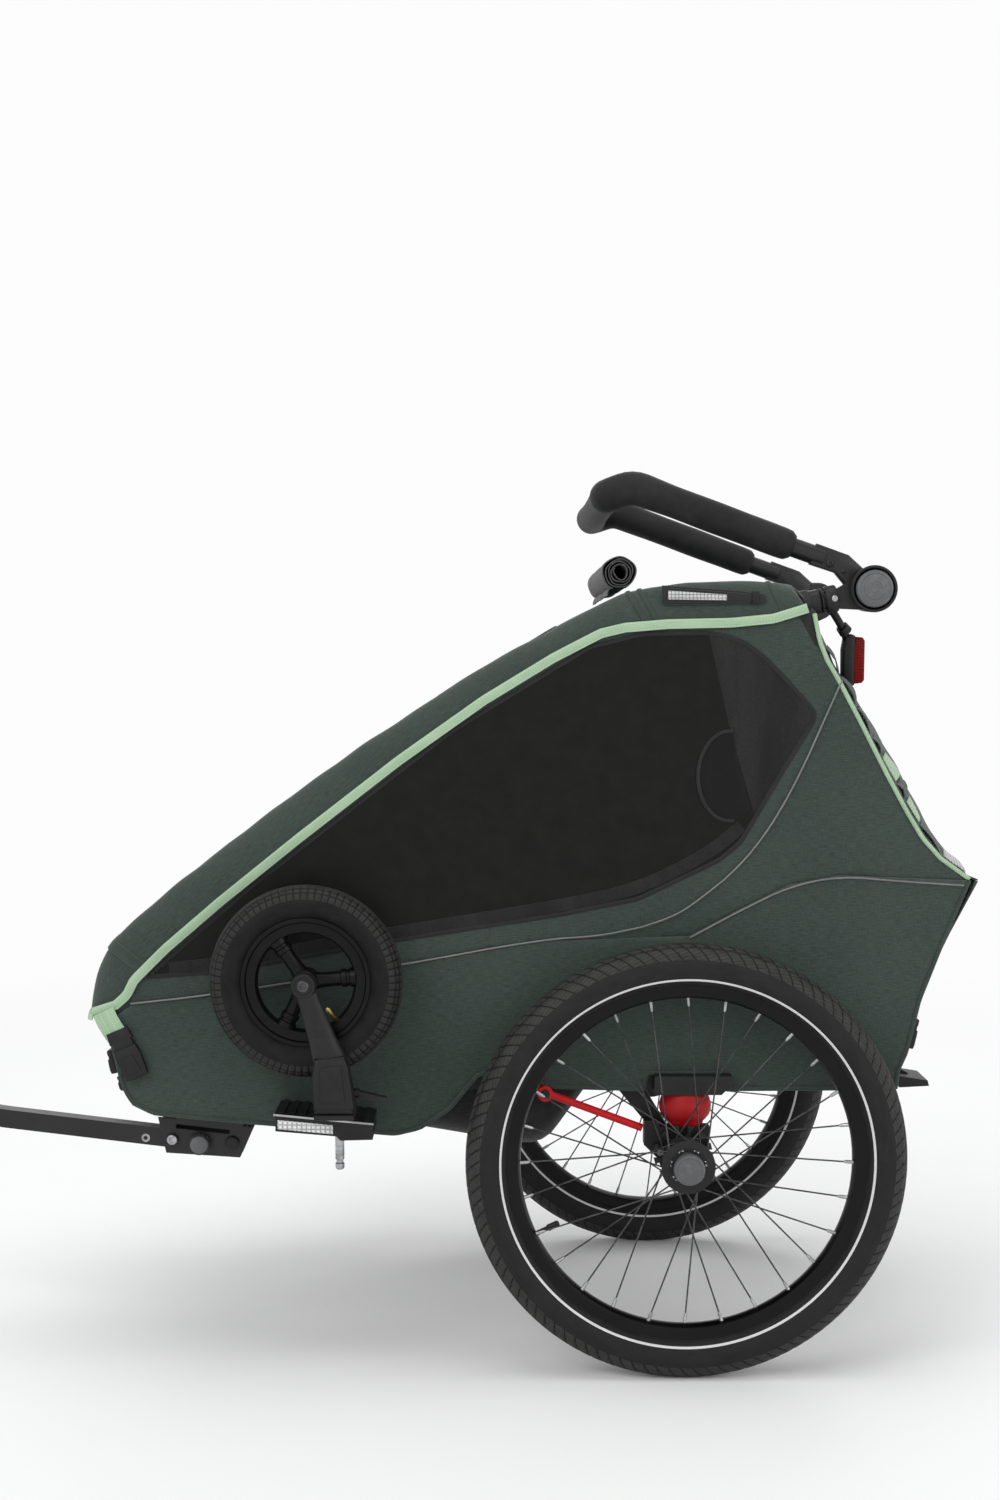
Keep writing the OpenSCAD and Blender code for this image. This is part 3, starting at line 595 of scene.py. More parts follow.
def bolt(x, y, z, r=4.5, out=-1, head=3.0, socket=True):
    """Round-headed bolt with a hexagonal socket, facing -Y or +Y."""
    prof = [(0, r), (head * 0.6, r), (head * 0.9, r * 0.86), (head, r * 0.66)]
    if socket:
        prof += [(head, r * 0.5), (head * 0.35, r * 0.46), (head * 0.3, 0.01)]
    else:
        prof += [(head * 1.06, 0.01)]
    return lathe(prof, (x, y, z), (0, out, 0), n=24)


def place_piece(part, name, material, body, smooth=40, replaces=None):
    ob = piece(name, *part[:2], material, part[2], smooth)
    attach(ob, body)
    if replaces:
        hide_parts(replaces)
    return ob


def blend_top(ob):
    """Bakes the transform into the mesh of cloth between the foot of the roof, which stays, and its top, which
    swings.
    """
    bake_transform(ob)


# ---- sheet builders
def offset_line(pts, d):
    """A polyline of X-Z points moved d to its left."""
    p = np.asarray(pts, float)
    t = np.diff(p, axis=0)
    t /= np.maximum(np.linalg.norm(t, axis=1), 1e-9)[:, None]
    n = t[:, ::-1] * [-1, 1]
    m = np.concatenate([n[:1], n[:-1] + n[1:], n[-1:]])
    m /= np.maximum((m * m).sum(1), 0.5)[:, None]
    m[1:-1] *= 2
    return p + m * d


def inside(poly, q):
    poly, q = np.asarray(poly, float), np.asarray(q, float)
    hit = np.zeros(len(q), bool)
    for (x0, z0), (x1, z1) in zip(poly, np.roll(poly, -1, 0)):
        if z0 != z1:
            hit ^= ((q[:, 1] < z0) != (q[:, 1] < z1)) & (q[:, 0] < (x1 - x0) * (q[:, 1] - z0) / (z1 - z0) + x0)
    return hit


def distance_to(line, q):
    line = np.asarray(line, float)
    best = np.full(len(q), 1e9)
    for p0, p1 in zip(line[:-1], line[1:]):
        d = p1 - p0
        t = np.clip(((q - p0) @ d) / max(d @ d, 1e-9), 0, 1)
        best = np.minimum(best, np.linalg.norm(q - p0 - t[:, None] * d, axis=1))
    return best


def mesh_plane(outline, lines=(), step=10.0):
    """Triangles over an outline of X-Z points; the given lines become edges."""
    ring = resample(np.vstack([outline, outline[:1]]), step=step)
    for c in np.asarray(outline, float):
        ring[np.argmin(np.linalg.norm(ring - c, axis=1))] = c
    ring = ring[:-1]
    pts, edges = [tuple(p) for p in ring], [(i, (i + 1) % len(ring)) for i in range(len(ring))]
    cuts = [np.vstack([ring, ring[:1]])]
    for line in lines:
        q = resample(line, step=step)
        k = len(pts)
        pts += [tuple(p) for p in q]
        edges += [(k + i, k + i + 1) for i in range(len(q) - 1)]
        cuts.append(q)
    low, high = ring.min(0), ring.max(0)
    gx, gz = np.meshgrid(np.arange(low[0], high[0], step), np.arange(low[1], high[1], step * 0.87))
    gx = gx + (np.arange(gx.shape[0])[:, None] % 2) * step / 2
    q = np.stack([gx.ravel(), gz.ravel()], 1)
    q = q[inside(ring, q)]
    keep = np.ones(len(q), bool)
    for c in cuts:
        keep &= distance_to(c, q) > step * 0.55
    pts += [tuple(p) for p in q[keep]]
    out = delaunay_2d_cdt([Vector(p) for p in pts], edges, [], 0, 1e-4)
    v = np.array([tuple(p) for p in out[0]])
    f = np.array(out[2])
    mid = v[f].mean(1)
    f = f[inside(ring, mid)]
    a, b, c = v[f[:, 0]], v[f[:, 1]], v[f[:, 2]]
    area = (b[:, 0] - a[:, 0]) * (c[:, 1] - a[:, 1]) - (b[:, 1] - a[:, 1]) * (c[:, 0] - a[:, 0])
    f = f[np.abs(area) > 1e-3]
    area = area[np.abs(area) > 1e-3]
    f[area < 0] = f[area < 0][:, ::-1]
    return v, f


def side_part(v, f, y_of, side):
    """Triangles of X-Z points put at Y = side * y_of(x, z), facing outward. UV is X-Z in metres."""
    used, inv = np.unique(f, return_inverse=True)
    q = v[used]
    f = inv.reshape(f.shape)[:, ::-side]
    return on_side(q, y_of(q), side), f.tolist(), [tuple(l) for l in q[f.ravel()] / 1000]


def cloth_finish(ob, thick=1.4, offset=-1.0):
    m = ob.modifiers.new("thickness", "SOLIDIFY")
    m.thickness = thick / 1000
    m.offset = offset
    return apply_all(ob)


def apply_all(ob):
    """Applies the modifiers, so that the piece is its final mesh."""
    dep = bpy.context.evaluated_depsgraph_get()
    dep.update()
    me = bpy.data.meshes.new_from_object(ob.evaluated_get(dep), preserve_all_data_layers=True, depsgraph=dep)
    ob.modifiers.clear()
    ob.data = me
    return ob


def merge_objects(name, objs):
    """Joins pieces that are already blended and welds their shared edges."""
    bpy.ops.object.select_all(action="DESELECT")
    for o in objs:
        o.select_set(True)
    bpy.context.view_layer.objects.active = objs[0]
    if len(objs) > 1:
        bpy.ops.object.join()
    ob = objs[0]
    bm = bmesh.new()
    bm.from_mesh(ob.data)
    bmesh.ops.remove_doubles(bm, verts=bm.verts, dist=0.00004)
    bm.to_mesh(ob.data)
    bm.free()
    ob.name = name
    return ob


def strip(path, width, thick, up, name, material, body, bulge=0.4):
    """A sewn band laid along a path of 3-D points; up is the way its outer face looks, and V is centred on the band.
    Without a body it lies on the cloth between chassis and roof and is left unattached, with its transform baked
    into its mesh."""
    sec = np.array([(-width / 2, -thick / 2), (width / 2, -thick / 2), (width / 2, thick * 0.2),
                    (width * 0.36, thick / 2),
                    (0, thick / 2 + bulge * 0.3), (-width * 0.36, thick / 2), (-width / 2, thick * 0.2)])
    v, f, _ = sweep(path, sec, up=up)
    s, m = run(path) / 1000, len(sec)
    ob = piece(name, v, f, material, [(s[k // m], sec[k % m][0] / 1000) for q in f for k in q], smooth=50)
    if body:
        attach(ob, body)
    else:
        blend_top(ob)
    return ob


def on_side(line, y, side=-1):
    p = np.asarray(line, float)
    yy = np.broadcast_to(np.asarray(y, float), len(p))
    return np.stack([p[:, 0], side * yy, p[:, 1]], 1)


# ---- outlines of the cover, X-Z
BELT = [(-669, 410), (-645, 427), (-552, 437), (-336, 471), (-168, 502), (6, 508), (64, 539), (122, 568), (180, 579),
        (332, 573)]
SKIRT = [(299, 491), (277, 432), (263, 370), (254, 349), (252, 327), (46, 326), (43, 345), (-41, 345), (-44, 326),
         (-150, 329), (-196, 340), (-214, 352), (-240, 343), (-273, 303), (-308, 280), (-337, 273), (-507, 287),
         (-572, 293), (-621, 298), (-645, 310), (-654, 325), (-659, 341), (-667, 375)]
HOOD = [(-694, 415), (-691, 440), (-684, 470), (-672, 497), (-656, 513), (-562, 592), (-410, 705), (-248, 812),
        (-111, 886), (-60, 908), (18, 917), (100, 917), (121, 913)]
TRIM = [(-688, 415), (-651, 427), (-633, 463), (-503, 574), (-271, 753), (-111, 850), (-57, 863), (87, 866),
        (139, 882)]
REAR = [(332, 575), (286, 608), (250, 666), (183, 793), (156, 838), (147, 880)]
REAR_MID = [(334, 575), (328, 600), (301, 640), (275, 695), (243, 746), (212, 792), (180, 838), (152, 878),
            (126, 906)]
WINDOW = [(-626, 460), (-543, 466), (-336, 503), (-144, 533), (-54, 551), (40, 596), (65, 617), (113, 700),
          (148, 758), (148, 768), (134, 784), (112, 808), (90, 830), (68, 846), (48, 854), (25, 858), (-42, 857),
          (-57, 855), (-111, 842), (-271, 745), (-503, 566)]
NET_FRONT = [(25, 858), (52, 745), (82, 645)]
NET_POLY = NET_FRONT + WINDOW[7:15]
SIDE_Y = 239.6
UPPER_Y = 237.2


def lower_y(q):
    """The side of the tub: taut between its hems, with a soft belly and creases that run down from the belt."""
    x, z = q[:, 0], q[:, 1]
    edge = np.minimum(distance_to(BELT, q), distance_to([BELT[-1]] + SKIRT + [BELT[0]], q))
    belly = 3.4 * (1 - np.exp(-(edge / 55) ** 2))
    folds = 0.5 * np.sin(x / 31 + z / 90) * np.sin(z / 47 + 1.3) + 0.35 * np.sin(x / 13 - z / 60)
    folds = folds + 0.9 * np.sin((x - z * 0.9) / 16) * np.exp(-((x + 170) / 80) ** 2 - ((z - 400) / 60) ** 2)
    folds = folds + 0.8 * np.sin((x * 0.4 + z) / 9) * np.exp(-((x + 610) / 50) ** 2 - ((z - 370) / 45) ** 2)
    return SIDE_Y + 1.2 + belly + folds * np.clip(edge / 30, 0, 1)


def upper_y(q):
    x, z = q[:, 0], q[:, 1]
    edge = distance_to(WINDOW + WINDOW[:1], q)
    slack = np.where(inside(WINDOW, q), -2.2 * (1 - np.exp(-(edge / 70) ** 2)),
                     0.8 * (1 - np.exp(-(edge / 16) ** 2)))
    folds = 0.4 * np.sin(x / 27 + z / 60) * np.sin(z / 38)
    folds = folds + 0.5 * np.sin((x - 0.8 * z) / 14) * np.exp(-((x + 590) / 50) ** 2)
    net = inside(NET_POLY, q) * np.clip(edge / 18, 0, 1)
    folds = folds + net * (1.6 * np.sin(x / 7.5 + z / 55) + 0.8 * np.sin(x / 4.1 - z / 31))
    return UPPER_Y + slack + folds * np.clip(edge / 12, 0.1, 1)


# The fold of the roof: the cover hangs between the belt, which stays, and the trim, which swings.
def base_z(x):
    return 402.6 + (x + 714.5) * (573.2 - 402.6) / 1046.5


B1, B2 = (-520, base_z(-520)), (-250, base_z(-250))
C1, C2, C3 = (-560, 517), (-330, 708), (-111, 850)


def plane_blend(p0, p1, p2, values):
    """Start and end points of the linear field with the given values at three X-Z points."""
    A = np.array([[p[0], p[1], 1] for p in (p0, p1, p2)], float)
    g = np.linalg.solve(A, np.asarray(values, float))
    n2 = g[0] ** 2 + g[1] ** 2
    s = -g[2] * g[:2] / n2
    e = s + g[:2] / n2
    return at(s[0], 0, s[1]), at(e[0], 0, e[1])


TOP_BLEND = plane_blend(B2, (332, base_z(332)), (40, 872), (0, 0, 1))
WEDGES = [
    ([(-760, 380), B1, C2, (-420, 900), (-900, 700)], plane_blend(B1, C1, C2, (0, 1, 1))),
    ([B1, B2, C2], plane_blend(B1, B2, C2, (0, 0, 1))),
    ([B2, C3, (-130, 950), (-420, 900), C2], plane_blend(B2, C2, C3, (0, 1, 1))),
]


def fan_cover(name, side, v, f, materials, which, y_of, thick):
    """One continuous sheet between belt and trim, built wedge by wedge and welded.
    which gives each face its material."""
    mid = v[f].mean(1)
    left = np.ones(len(f), bool)
    objs = []
    for k in range(4):
        if k < 3:
            take = left & inside(WEDGES[k][0], mid)
            ends = WEDGES[k][1]
        else:
            take, ends = left.copy(), TOP_BLEND
        left = left & ~take
        if not take.any():
            continue
        P, F, L = side_part(v, f[take], y_of, side)
        ob = piece(f"{name}_{k}", P, F, None, L, smooth=0, materials=materials, face_mat=which[take])
        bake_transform(ob)
        objs.append(ob)
    # the wedges share the points of their seams, so that welding makes one surface of them
    ob = cloth_finish(merge_objects(name, objs), thick)
    return ob


def flat_size(ob):
    """Width, length and area of a sheet from its own surface, in metres; a closed sheet counts one face."""
    co = np.array([v.co for v in ob.data.vertices])
    area = sum(p.area for p in ob.data.polygons) / 2
    w, l = (float(q) * 1.02 for q in np.sort(co.max(0) - co.min(0))[1:])
    if area > w * l:
        w = area / l * 1.02
    return (round(w, 3), round(l, 3)), round(area, 4)


def declare_sheet(ob, held="stretched", flat=None):
    size, area = flat_size(ob)
    size = flat or size
    area = min(max(area, 0.305 * size[0] * size[1]), 0.995 * size[0] * size[1])


def dress_sheet(ob, body, node, thick, offset=-1.0, **more):
    """Thickness and body of a sheet; hides its CAD node and works out its flat size."""
    cloth_finish(ob, thick, offset)
    if body:
        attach(ob, body)
    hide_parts(node)
    declare_sheet(ob, **more)


# ---- side covers
low_v, low_f = mesh_plane(BELT + SKIRT, step=9.0)
high_outline = np.array([(x, z - 5) for x, z in BELT] + REAR[1:] + offset_line(TRIM, 5.0)[::-1].tolist())
high_v, high_f = mesh_plane(high_outline, [WINDOW + WINDOW[:1], NET_FRONT, [B1, C2], [B2, C2], [B2, C3]], step=9.0)
high_mid = high_v[high_f].mean(1)
in_window = inside(WINDOW, high_mid)
in_net = inside(NET_POLY, high_mid) & in_window | inside([(122, 889), (143, 889), (158, 838), (149, 842)], high_mid)
PIPE = np.array([(1.2, 0.0), (0.85, 0.85), (0.0, 1.2), (-0.85, 0.85), (-1.2, 0.0), (0.0, -0.6)])

for side, word in SIDES:
    out = (0, side, 0)
    P, F, loops = side_part(low_v, low_f, lower_y, side)
    tub = piece(f"tub_cover_{word}", P, F, GREEN, loops, smooth=0)
    dress_sheet(tub, "chassis", f"tub_side_{word}", 1.6)
    which = np.where(in_net, 2, np.where(in_window, 1, 0))
    upper = fan_cover(f"upper_cover_{word}", side, high_v, high_f, [GREEN, FILM, NET], which, upper_y, 1.2)
    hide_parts(f"window_{word}")
    declare_sheet(upper)

    # bound edge of the window and the band of lining at its foot
    ring = resample(WINDOW + WINDOW[:1], step=8)
    strip(on_side(ring, upper_y(ring) + 0.3, side), 5.0, 1.2, out, f"window_binding_{word}", BLACK_WEB, None)
    foot = smooth_line([(-600, 470), (-543, 475), (-336, 512), (-144, 543), (-54, 562), (30, 605), (66, 636)],
                       step=9)
    strip(on_side(foot, upper_y(foot) + 0.5, side), 15.0, 1.0, out, f"window_foot_{word}", NET, None)

    # reflective piping: along the belt and over the hip on the tub, and up behind the window on the roof
    for tag, line in (("a", [(-645, 429), (-552, 439), (-336, 473), (-168, 504), (-98, 508), (-52, 518)]),
                      ("b", [(-52, 518), (-20, 528), (6, 541), (70, 593), (121, 669), (179, 804)]),
                      ("c", [(7, 506), (64, 537), (122, 566), (180, 578), (250, 572), (325, 567)])):
        line = smooth_line(line, step=6)
        y = np.maximum(lower_y(line), 241.0) + 0.4
        if tag == "b":
            y = upper_y(line) + 1.6 + 3.0 * np.exp(-((line[:, 0] + 52) / 30) ** 2)
        v, f, l = sweep(on_side(line, y, side), PIPE, up=out)
        ob = piece(f"piping_{tag}_{word}", v, f, TAPE, l, smooth=60)
        if tag == "b":
            blend_top(ob)
        else:
            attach(ob, "chassis")

    # folded hem along the bottom of the tub and up its rear edge
    edge = offset_line(resample([BELT[-1]] + SKIRT + [BELT[0]], step=7), -1.0)
    strip(on_side(edge, lower_y(edge) + 0.2, side), 5.0, 2.4, out, f"tub_hem_{word}", GREEN_WEB, "chassis")

    # mint binding of the hood and of the rear edge
    line = smooth_line(offset_line(TRIM, 4.0), step=7, rounds=1)
    trim = strip(on_side(line, 241.0, side), 11.0, 2.0, out, f"hood_binding_{word}", MINT, "roof", bulge=1.6)
    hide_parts("hood_trim")
    line = offset_line(smooth_line(REAR, step=7, rounds=1), 1.0)
    strip(on_side(line, 238.4, side), 5.0, 3.6, out, f"rear_piping_{word}", MINT, None, bulge=1.8)


# ---- hood
def hood_grid(nu=150, n_side=10, n_top=36):
    low = resample(smooth_line(offset_line(TRIM, -1.0), step=5, rounds=1), n=nu)
    top = resample(smooth_line(HOOD, step=5, rounds=1), n=nu)
    # the rows are paired by their share of the length, so the seams cross square to the edge
    P = []
    half, r = 239.2, 17.0
    for t, h in zip(low, top):
        row = []
        for k in range(n_side):
            a = k / n_side * math.pi / 2
            x, z = t + (h - t) * math.sin(a) ** 0.9
            row.append((x, -half + r * (1 - math.cos(a)), z))
        flat = [(h[0], y, h[1]) for y in np.linspace(r - half, half - r, n_top + 1)]
        P.append(row + flat + [(x, -y, z) for x, y, z in row[::-1]])
    P = np.array(P)
    V = np.concatenate([[0], np.cumsum(np.linalg.norm(np.diff(P, axis=1), axis=2).mean(0))])
    middle = P[:, n_side + n_top // 2]
    U = run(middle)
    # sag between the side tubes, pulled tight at the cross bars, with a few tension waves
    tan = unit(np.gradient(middle, axis=0))
    nrm = np.stack([-tan[:, 2], np.zeros(nu), tan[:, 0]], 1)
    x, y, u = P[:, :, 0], P[:, :, 1], U[:, None]
    bell = np.clip(1 - (np.abs(y) / 205) ** 2.2, 0, 1)
    bars = np.minimum.reduce([np.abs(x - c) for c in (-690, -85, 110)])
    sag = -6.5 * bell * (1 - np.exp(-(bars / 120) ** 2)) - 1.5 * bell
    waves = 0.8 * np.sin(u / 29 + 0.02 * y) * np.sin(y / 41 + u / 160) + 0.5 * np.sin(u / 11 + y / 23)
    corner = np.exp(-((np.abs(y) - 225) / 25) ** 2) * np.exp(-(u / 120) ** 2)
    waves = waves + np.sin((u * 0.7 + np.abs(y)) / 12) * corner
    return P + nrm[:, None] * (sag + waves * 0.8)[:, :, None], U, V


def middles(v, f):
    return np.array([np.mean([v[i] for i in q], axis=0) for q in f])


PANE_Y, PANE_X = 172, (-628, -150)  # the clear pane in the front slope
hood_P, hood_U, hood_V = hood_grid()
v, f, l = grid(hood_P, uv=(hood_U / 1000, hood_V / 1000), flip=True)
x, y, _ = middles(v, f).T
pane = (np.abs(y) < PANE_Y) & (x > PANE_X[0]) & (x < PANE_X[1])
hood = piece("hood_cover", v, f, GREEN, l, smooth=0, materials=[GREEN, FILM], face_mat=pane.astype(int))
dress_sheet(hood, "roof", "hood", 1.6)


def hood_across(u, lift):
    """The row of the hood at a distance from its front edge, with its outward directions."""
    i = int(np.argmin(np.abs(hood_U - u)))
    row = hood_P[i]
    n = unit(np.cross(hood_P[min(i + 1, len(hood_P) - 1)] - row, np.gradient(row, axis=0)))
    return row + n * lift, n


def hood_along(y_want, u0, u1, lift):
    """A line on the hood at a distance from its middle, from u0 to u1, with its outward directions."""
    out, ns = [], []
    for i in (i for i, u in enumerate(hood_U) if u0 <= u <= u1):
        row = hood_P[i]
        j = int(np.argmin(np.abs(row[:, 1] - y_want)))
        ahead = hood_P[min(i + 1, len(hood_P) - 1), j] - hood_P[max(i - 1, 0), j]
        n = unit(np.cross(ahead, row[min(j + 1, len(row) - 1)] - row[max(j - 1, 0)]))
        out.append([row[j][0], y_want, row[j][2]] + n * lift)
        ns.append(n)
    return np.array(out), np.array(ns)


def u_at(x):
    return float(np.interp(x, hood_P[:, 28, 0], hood_U))


for tag, u, lift, width, thick, material, bulge in (
        ("seam_front", u_at(-668), 0.7, 14.0, 1.6, GREEN_WEB, 0.4),
        ("seam_rise", u_at(-64), 0.7, 5.0, 1.6, GREEN_WEB, 0.4),
        ("seam_top", u_at(-52), 0.7, 5.0, 1.6, GREEN_WEB, 0.4),
        ("seam_back", u_at(96), 0.7, 5.0, 1.6, GREEN_WEB, 0.4),
        ("binding_front", 0, 0.9, 11.0, 2.0, MINT, 1.6),
        ("hem_back", hood_U[-1] - 3, 0.5, 12.0, 2.0, GREEN_WEB, 0.4)):
    p, n = hood_across(u, lift)
    strip(p, width, thick, n, f"hood_{tag}", material, "roof", bulge=bulge)
for side, word in SIDES:
    p, n = hood_along(side * PANE_Y, u_at(PANE_X[0]), u_at(PANE_X[1]), 0.8)
    strip(p, 12.0, 1.8, n, f"pane_binding_{word}", GREEN_WEB, "roof")
for tag, x in zip(("low", "high"), PANE_X):
    p, n = hood_across(u_at(x), 0.9)
    ok = np.abs(p[:, 1]) <= PANE_Y + 2
    strip(p[ok], 12.0, 1.8, n[ok], f"pane_binding_{tag}", GREEN_WEB, "roof")


# ---- rear cover
REAR_Y = 236.5
REAR_PANE_Y, REAR_PANE_Z = 158, (716, 838)  # the mesh window in the upper half


def rear_grid(nu=56, nv=61):
    side_line = resample(smooth_line([(332, 573.5)] + REAR[1:], step=4, rounds=1), n=nu)
    mid_line = resample(smooth_line(REAR_MID, step=4, rounds=2), n=nu)
    ys = np.linspace(-REAR_Y, REAR_Y, nv)
    P = np.empty((nu, nv, 3))
    power = np.interp(np.linspace(0, 1, nu), [0, 0.08, 0.8, 1], [9, 2.6, 2.6, 11])
    for j in range(nv):
        k = np.clip(1 - (abs(ys[j]) / REAR_Y) ** power, 0, 1)[:, None]
        q = side_line * (1 - k) + mid_line * k
        P[:, j, 0], P[:, j, 1], P[:, j, 2] = q[:, 0], ys[j], q[:, 1]
    t = np.linspace(0, 1, nu)[:, None]
    y = ys[None, :]
    edge = np.clip((REAR_Y - np.abs(y)) / 25, 0, 1)
    fold = 1.1 * np.sin(y / 17 + 3 * t) * np.sin(t * 19 + 0.4) + 0.7 * np.sin(t * 44 + y / 60)
    corner = np.exp(-((np.abs(y) - 200) / 40) ** 2) * np.exp(-(t / 0.25) ** 2)
    fold = fold + 1.6 * np.sin((np.abs(y) + t * 260) / 15) * corner
    P[:, :, 0] += fold * edge * np.clip(np.sin(np.pi * t), 0, 1) ** 0.5
    return P


rear_P = rear_grid()
v, f, l = grid(rear_P)
_, y, z = middles(v, f).T
pane = (np.abs(y) < REAR_PANE_Y) & (z > REAR_PANE_Z[0]) & (z < REAR_PANE_Z[1])
rear = piece("rear_cover_cloth", v, f, GREEN, l, smooth=0, materials=[GREEN, NET], face_mat=pane.astype(int))
blend_top(rear)
dress_sheet(rear, None, "rear_cover", 1.6, offset=1.0)


def rear_point(y, z, lift=0.8):
    """The point and outward direction of the rear cover at a height and a distance from the middle."""
    j = float(np.interp(y, rear_P[0, :, 1], np.arange(rear_P.shape[1])))
    j0 = min(int(j), rear_P.shape[1] - 2)
    col = rear_P[:, j0] * (1 - (j - j0)) + rear_P[:, j0 + 1] * (j - j0)
    i = float(np.interp(z, col[:, 2], np.arange(len(col))))
    i0 = min(int(i), len(col) - 2)
    p = col[i0] * (1 - (i - i0)) + col[i0 + 1] * (i - i0)
    t = col[i0 + 1] - col[i0]
    n = unit(np.cross(rear_P[i0, j0 + 1] - rear_P[i0, j0], t))
    return p + n * lift, n


def rear_strip(points, width, name, material, lift):
    """A band on the rear cover through (y, z) points; lift gives its height over the cloth for each point."""
    got = [rear_point(y, z, h) for (y, z), h in zip(points, np.broadcast_to(lift, len(points)))]
    strip(np.array([g[0] for g in got]), width, 1.6, np.array([g[1] for g in got]), name, material, None)


def at_end(P, ys):
    """The last row of a grid, at the given distances from the middle."""
    return np.stack([np.interp(ys, P[-1][:, 1], P[-1][:, k]) for k in range(3)], 1)


# the top edge of the cover is bound to the hood, and its foot to the back wall of the tub
ys = np.linspace(-233, 233, 61)
top_edge = (at_end(hood_P, ys) + at_end(rear_P, ys)) / 2 + np.array([0.9, 0, 0.8])
strip(top_edge, 17.0, 1.8, (0.72, 0, 0.69), "rear_top_binding", GREEN_WEB, "roof")
foot_edge = np.stack([np.full(61, 337.5), ys, np.full(61, 574.2)], 1)
strip(foot_edge, 11.0, 1.8, (0.25, 0, 0.97), "rear_sill_binding", GREEN_WEB, "chassis")
for tag, z in zip(("low", "high"), REAR_PANE_Z):
    rear_strip(resample([(-REAR_PANE_Y, z), (REAR_PANE_Y, z)], step=8), 9, f"rear_window_hem_{tag}", GREEN_WEB, 0.8)
# loops down each edge: dark ones standing off the cloth, two mint tabs and a reflective corner
LOOPS = ((842, 812, GREEN_WEB), (806, 778, GREEN_WEB), (772, 744, GREEN_WEB), (738, 720, GREEN_WEB),
         (716, 690, MINT),
         (686, 669, GREEN_WEB), (665, 641, MINT), (637, 606, GREEN_WEB), (602, 582, HONEYCOMB))
for side, word in SIDES:
    y = side * REAR_PANE_Y
    rear_strip(resample([(y, 714), (y, 840)], step=8), 9, f"rear_window_hem_{word}", GREEN_WEB, 0.8)
    for i, (z0, z1, material) in enumerate(LOOPS):
        lift = 2.0 + (3.4 * np.sin(np.pi * np.linspace(0, 1, 11)) if material == GREEN_WEB else 1.0)
        rear_strip([(213 * side, z) for z in np.linspace(z0, z1, 11)], 34.0, f"rear_loop_{word}_{i}", material, lift)


def tub_end(name, node, line, bulge, out, half=238.5):
    """The front or back wall of the tub: a taut sheet with a soft belly and a hem at its top."""
    line = resample(smooth_line(line, step=6, rounds=1), n=26)
    ys = np.linspace(-half, half, 49)
    k = 1 - (np.abs(ys) / half) ** 3
    t = np.sin(np.pi * np.linspace(0, 1, len(line)))
    P = np.empty((len(line), len(ys), 3))
    nrm = unit(np.gradient(line, axis=0))[:, ::-1] * [-out, out]
    for j, y in enumerate(ys):
        fold = 0.5 * np.sin(y / 13 + np.arange(len(line)) * 0.3)
        q = line + nrm * ((bulge + fold) * k[j] * t)[:, None]
        P[:, j, 0], P[:, j, 1], P[:, j, 2] = q[:, 0], y, q[:, 1]
    v, f, l = grid(P, flip=out > 0)
    dress_sheet(piece(name, v, f, GREEN, l, smooth=0), "chassis", node, 2.0, offset=0.0)


tub_end("tub_wall_rear", "tub_rear", [(252, 352), (263, 370), (277, 432), (299, 491), (341, 572)], 5.0, -1)
tub_end("tub_wall_front", "tub_front", [(-684, 411), (-669, 402), (-661, 366), (-656, 341), (-651, 323), (-641, 309),
                                        (-621, 299), (-598, 297)], 3.0, 1)


# ---- big wheels
def torus_part(centre, R, r, nu, nv, relief):
    """A tube bent to a ring about the Y direction, in millimetres. relief(u, v) raises its skin; v is zero at the
    outer middle."""
    A, B = np.meshgrid(turn(nu), turn(nv) - math.pi, indexing="ij")
    rad = r + relief(A * (R + r), B * r)
    rr = R + rad * np.cos(B)
    P = np.stack([centre[0] + rr * np.cos(A), centre[1] + rad * np.sin(B), centre[2] + rr * np.sin(A)], 2)
    U = np.linspace(0, TAU * (R + r), nu + 1) / 1000
    V = np.linspace(-math.pi, math.pi, nv + 1) * r / 1000
    return grid(P, wrap_u=True, wrap_v=True, uv=(U, V), flip=True)


def big_tread(u, v):
    """Slanted blocks over the crown, a stepped shoulder and fine rings down the wall."""
    off = np.abs(v)
    s = ((u + off * 0.75) * TREAD_BLOCKS / 1592.8) % 1.0
    block = np.clip((np.minimum(s, 1 - s) - 0.03) / 0.05, 0, 1)
    s = (s + 0.5) % 1.0
    half_cut = np.where(off > 22, np.clip(np.minimum(s, 1 - s) / 0.07, 0, 1), 1)
    ring = np.clip(np.abs(off - 12.5) / 1.1, 0, 1)
    crown = np.clip((31.0 - off) / 2.5, 0, 1)
    h = crown * (1.7 * np.minimum(np.minimum(block, ring), 0.45 + 0.55 * half_cut) - 1.0)
    wall = np.where((off > 33) & (off < 56), 0.22 * np.sin(off * 1.9), 0)
    # the last term is the slim raised bead beside the rim
    return h + wall + 0.6 * np.exp(-((off - 60.5) / 2.2) ** 2)


def polar(centre, r, a):
    """The point at a radius and an angle in the X-Z plane through centre."""
    return np.asarray(centre, float) + r * np.array([math.cos(a), 0, math.sin(a)])


def both_ends(half):
    """A profile with the same rim at both ends."""
    return half + [(-y, r) for y, r in half[::-1] if y]


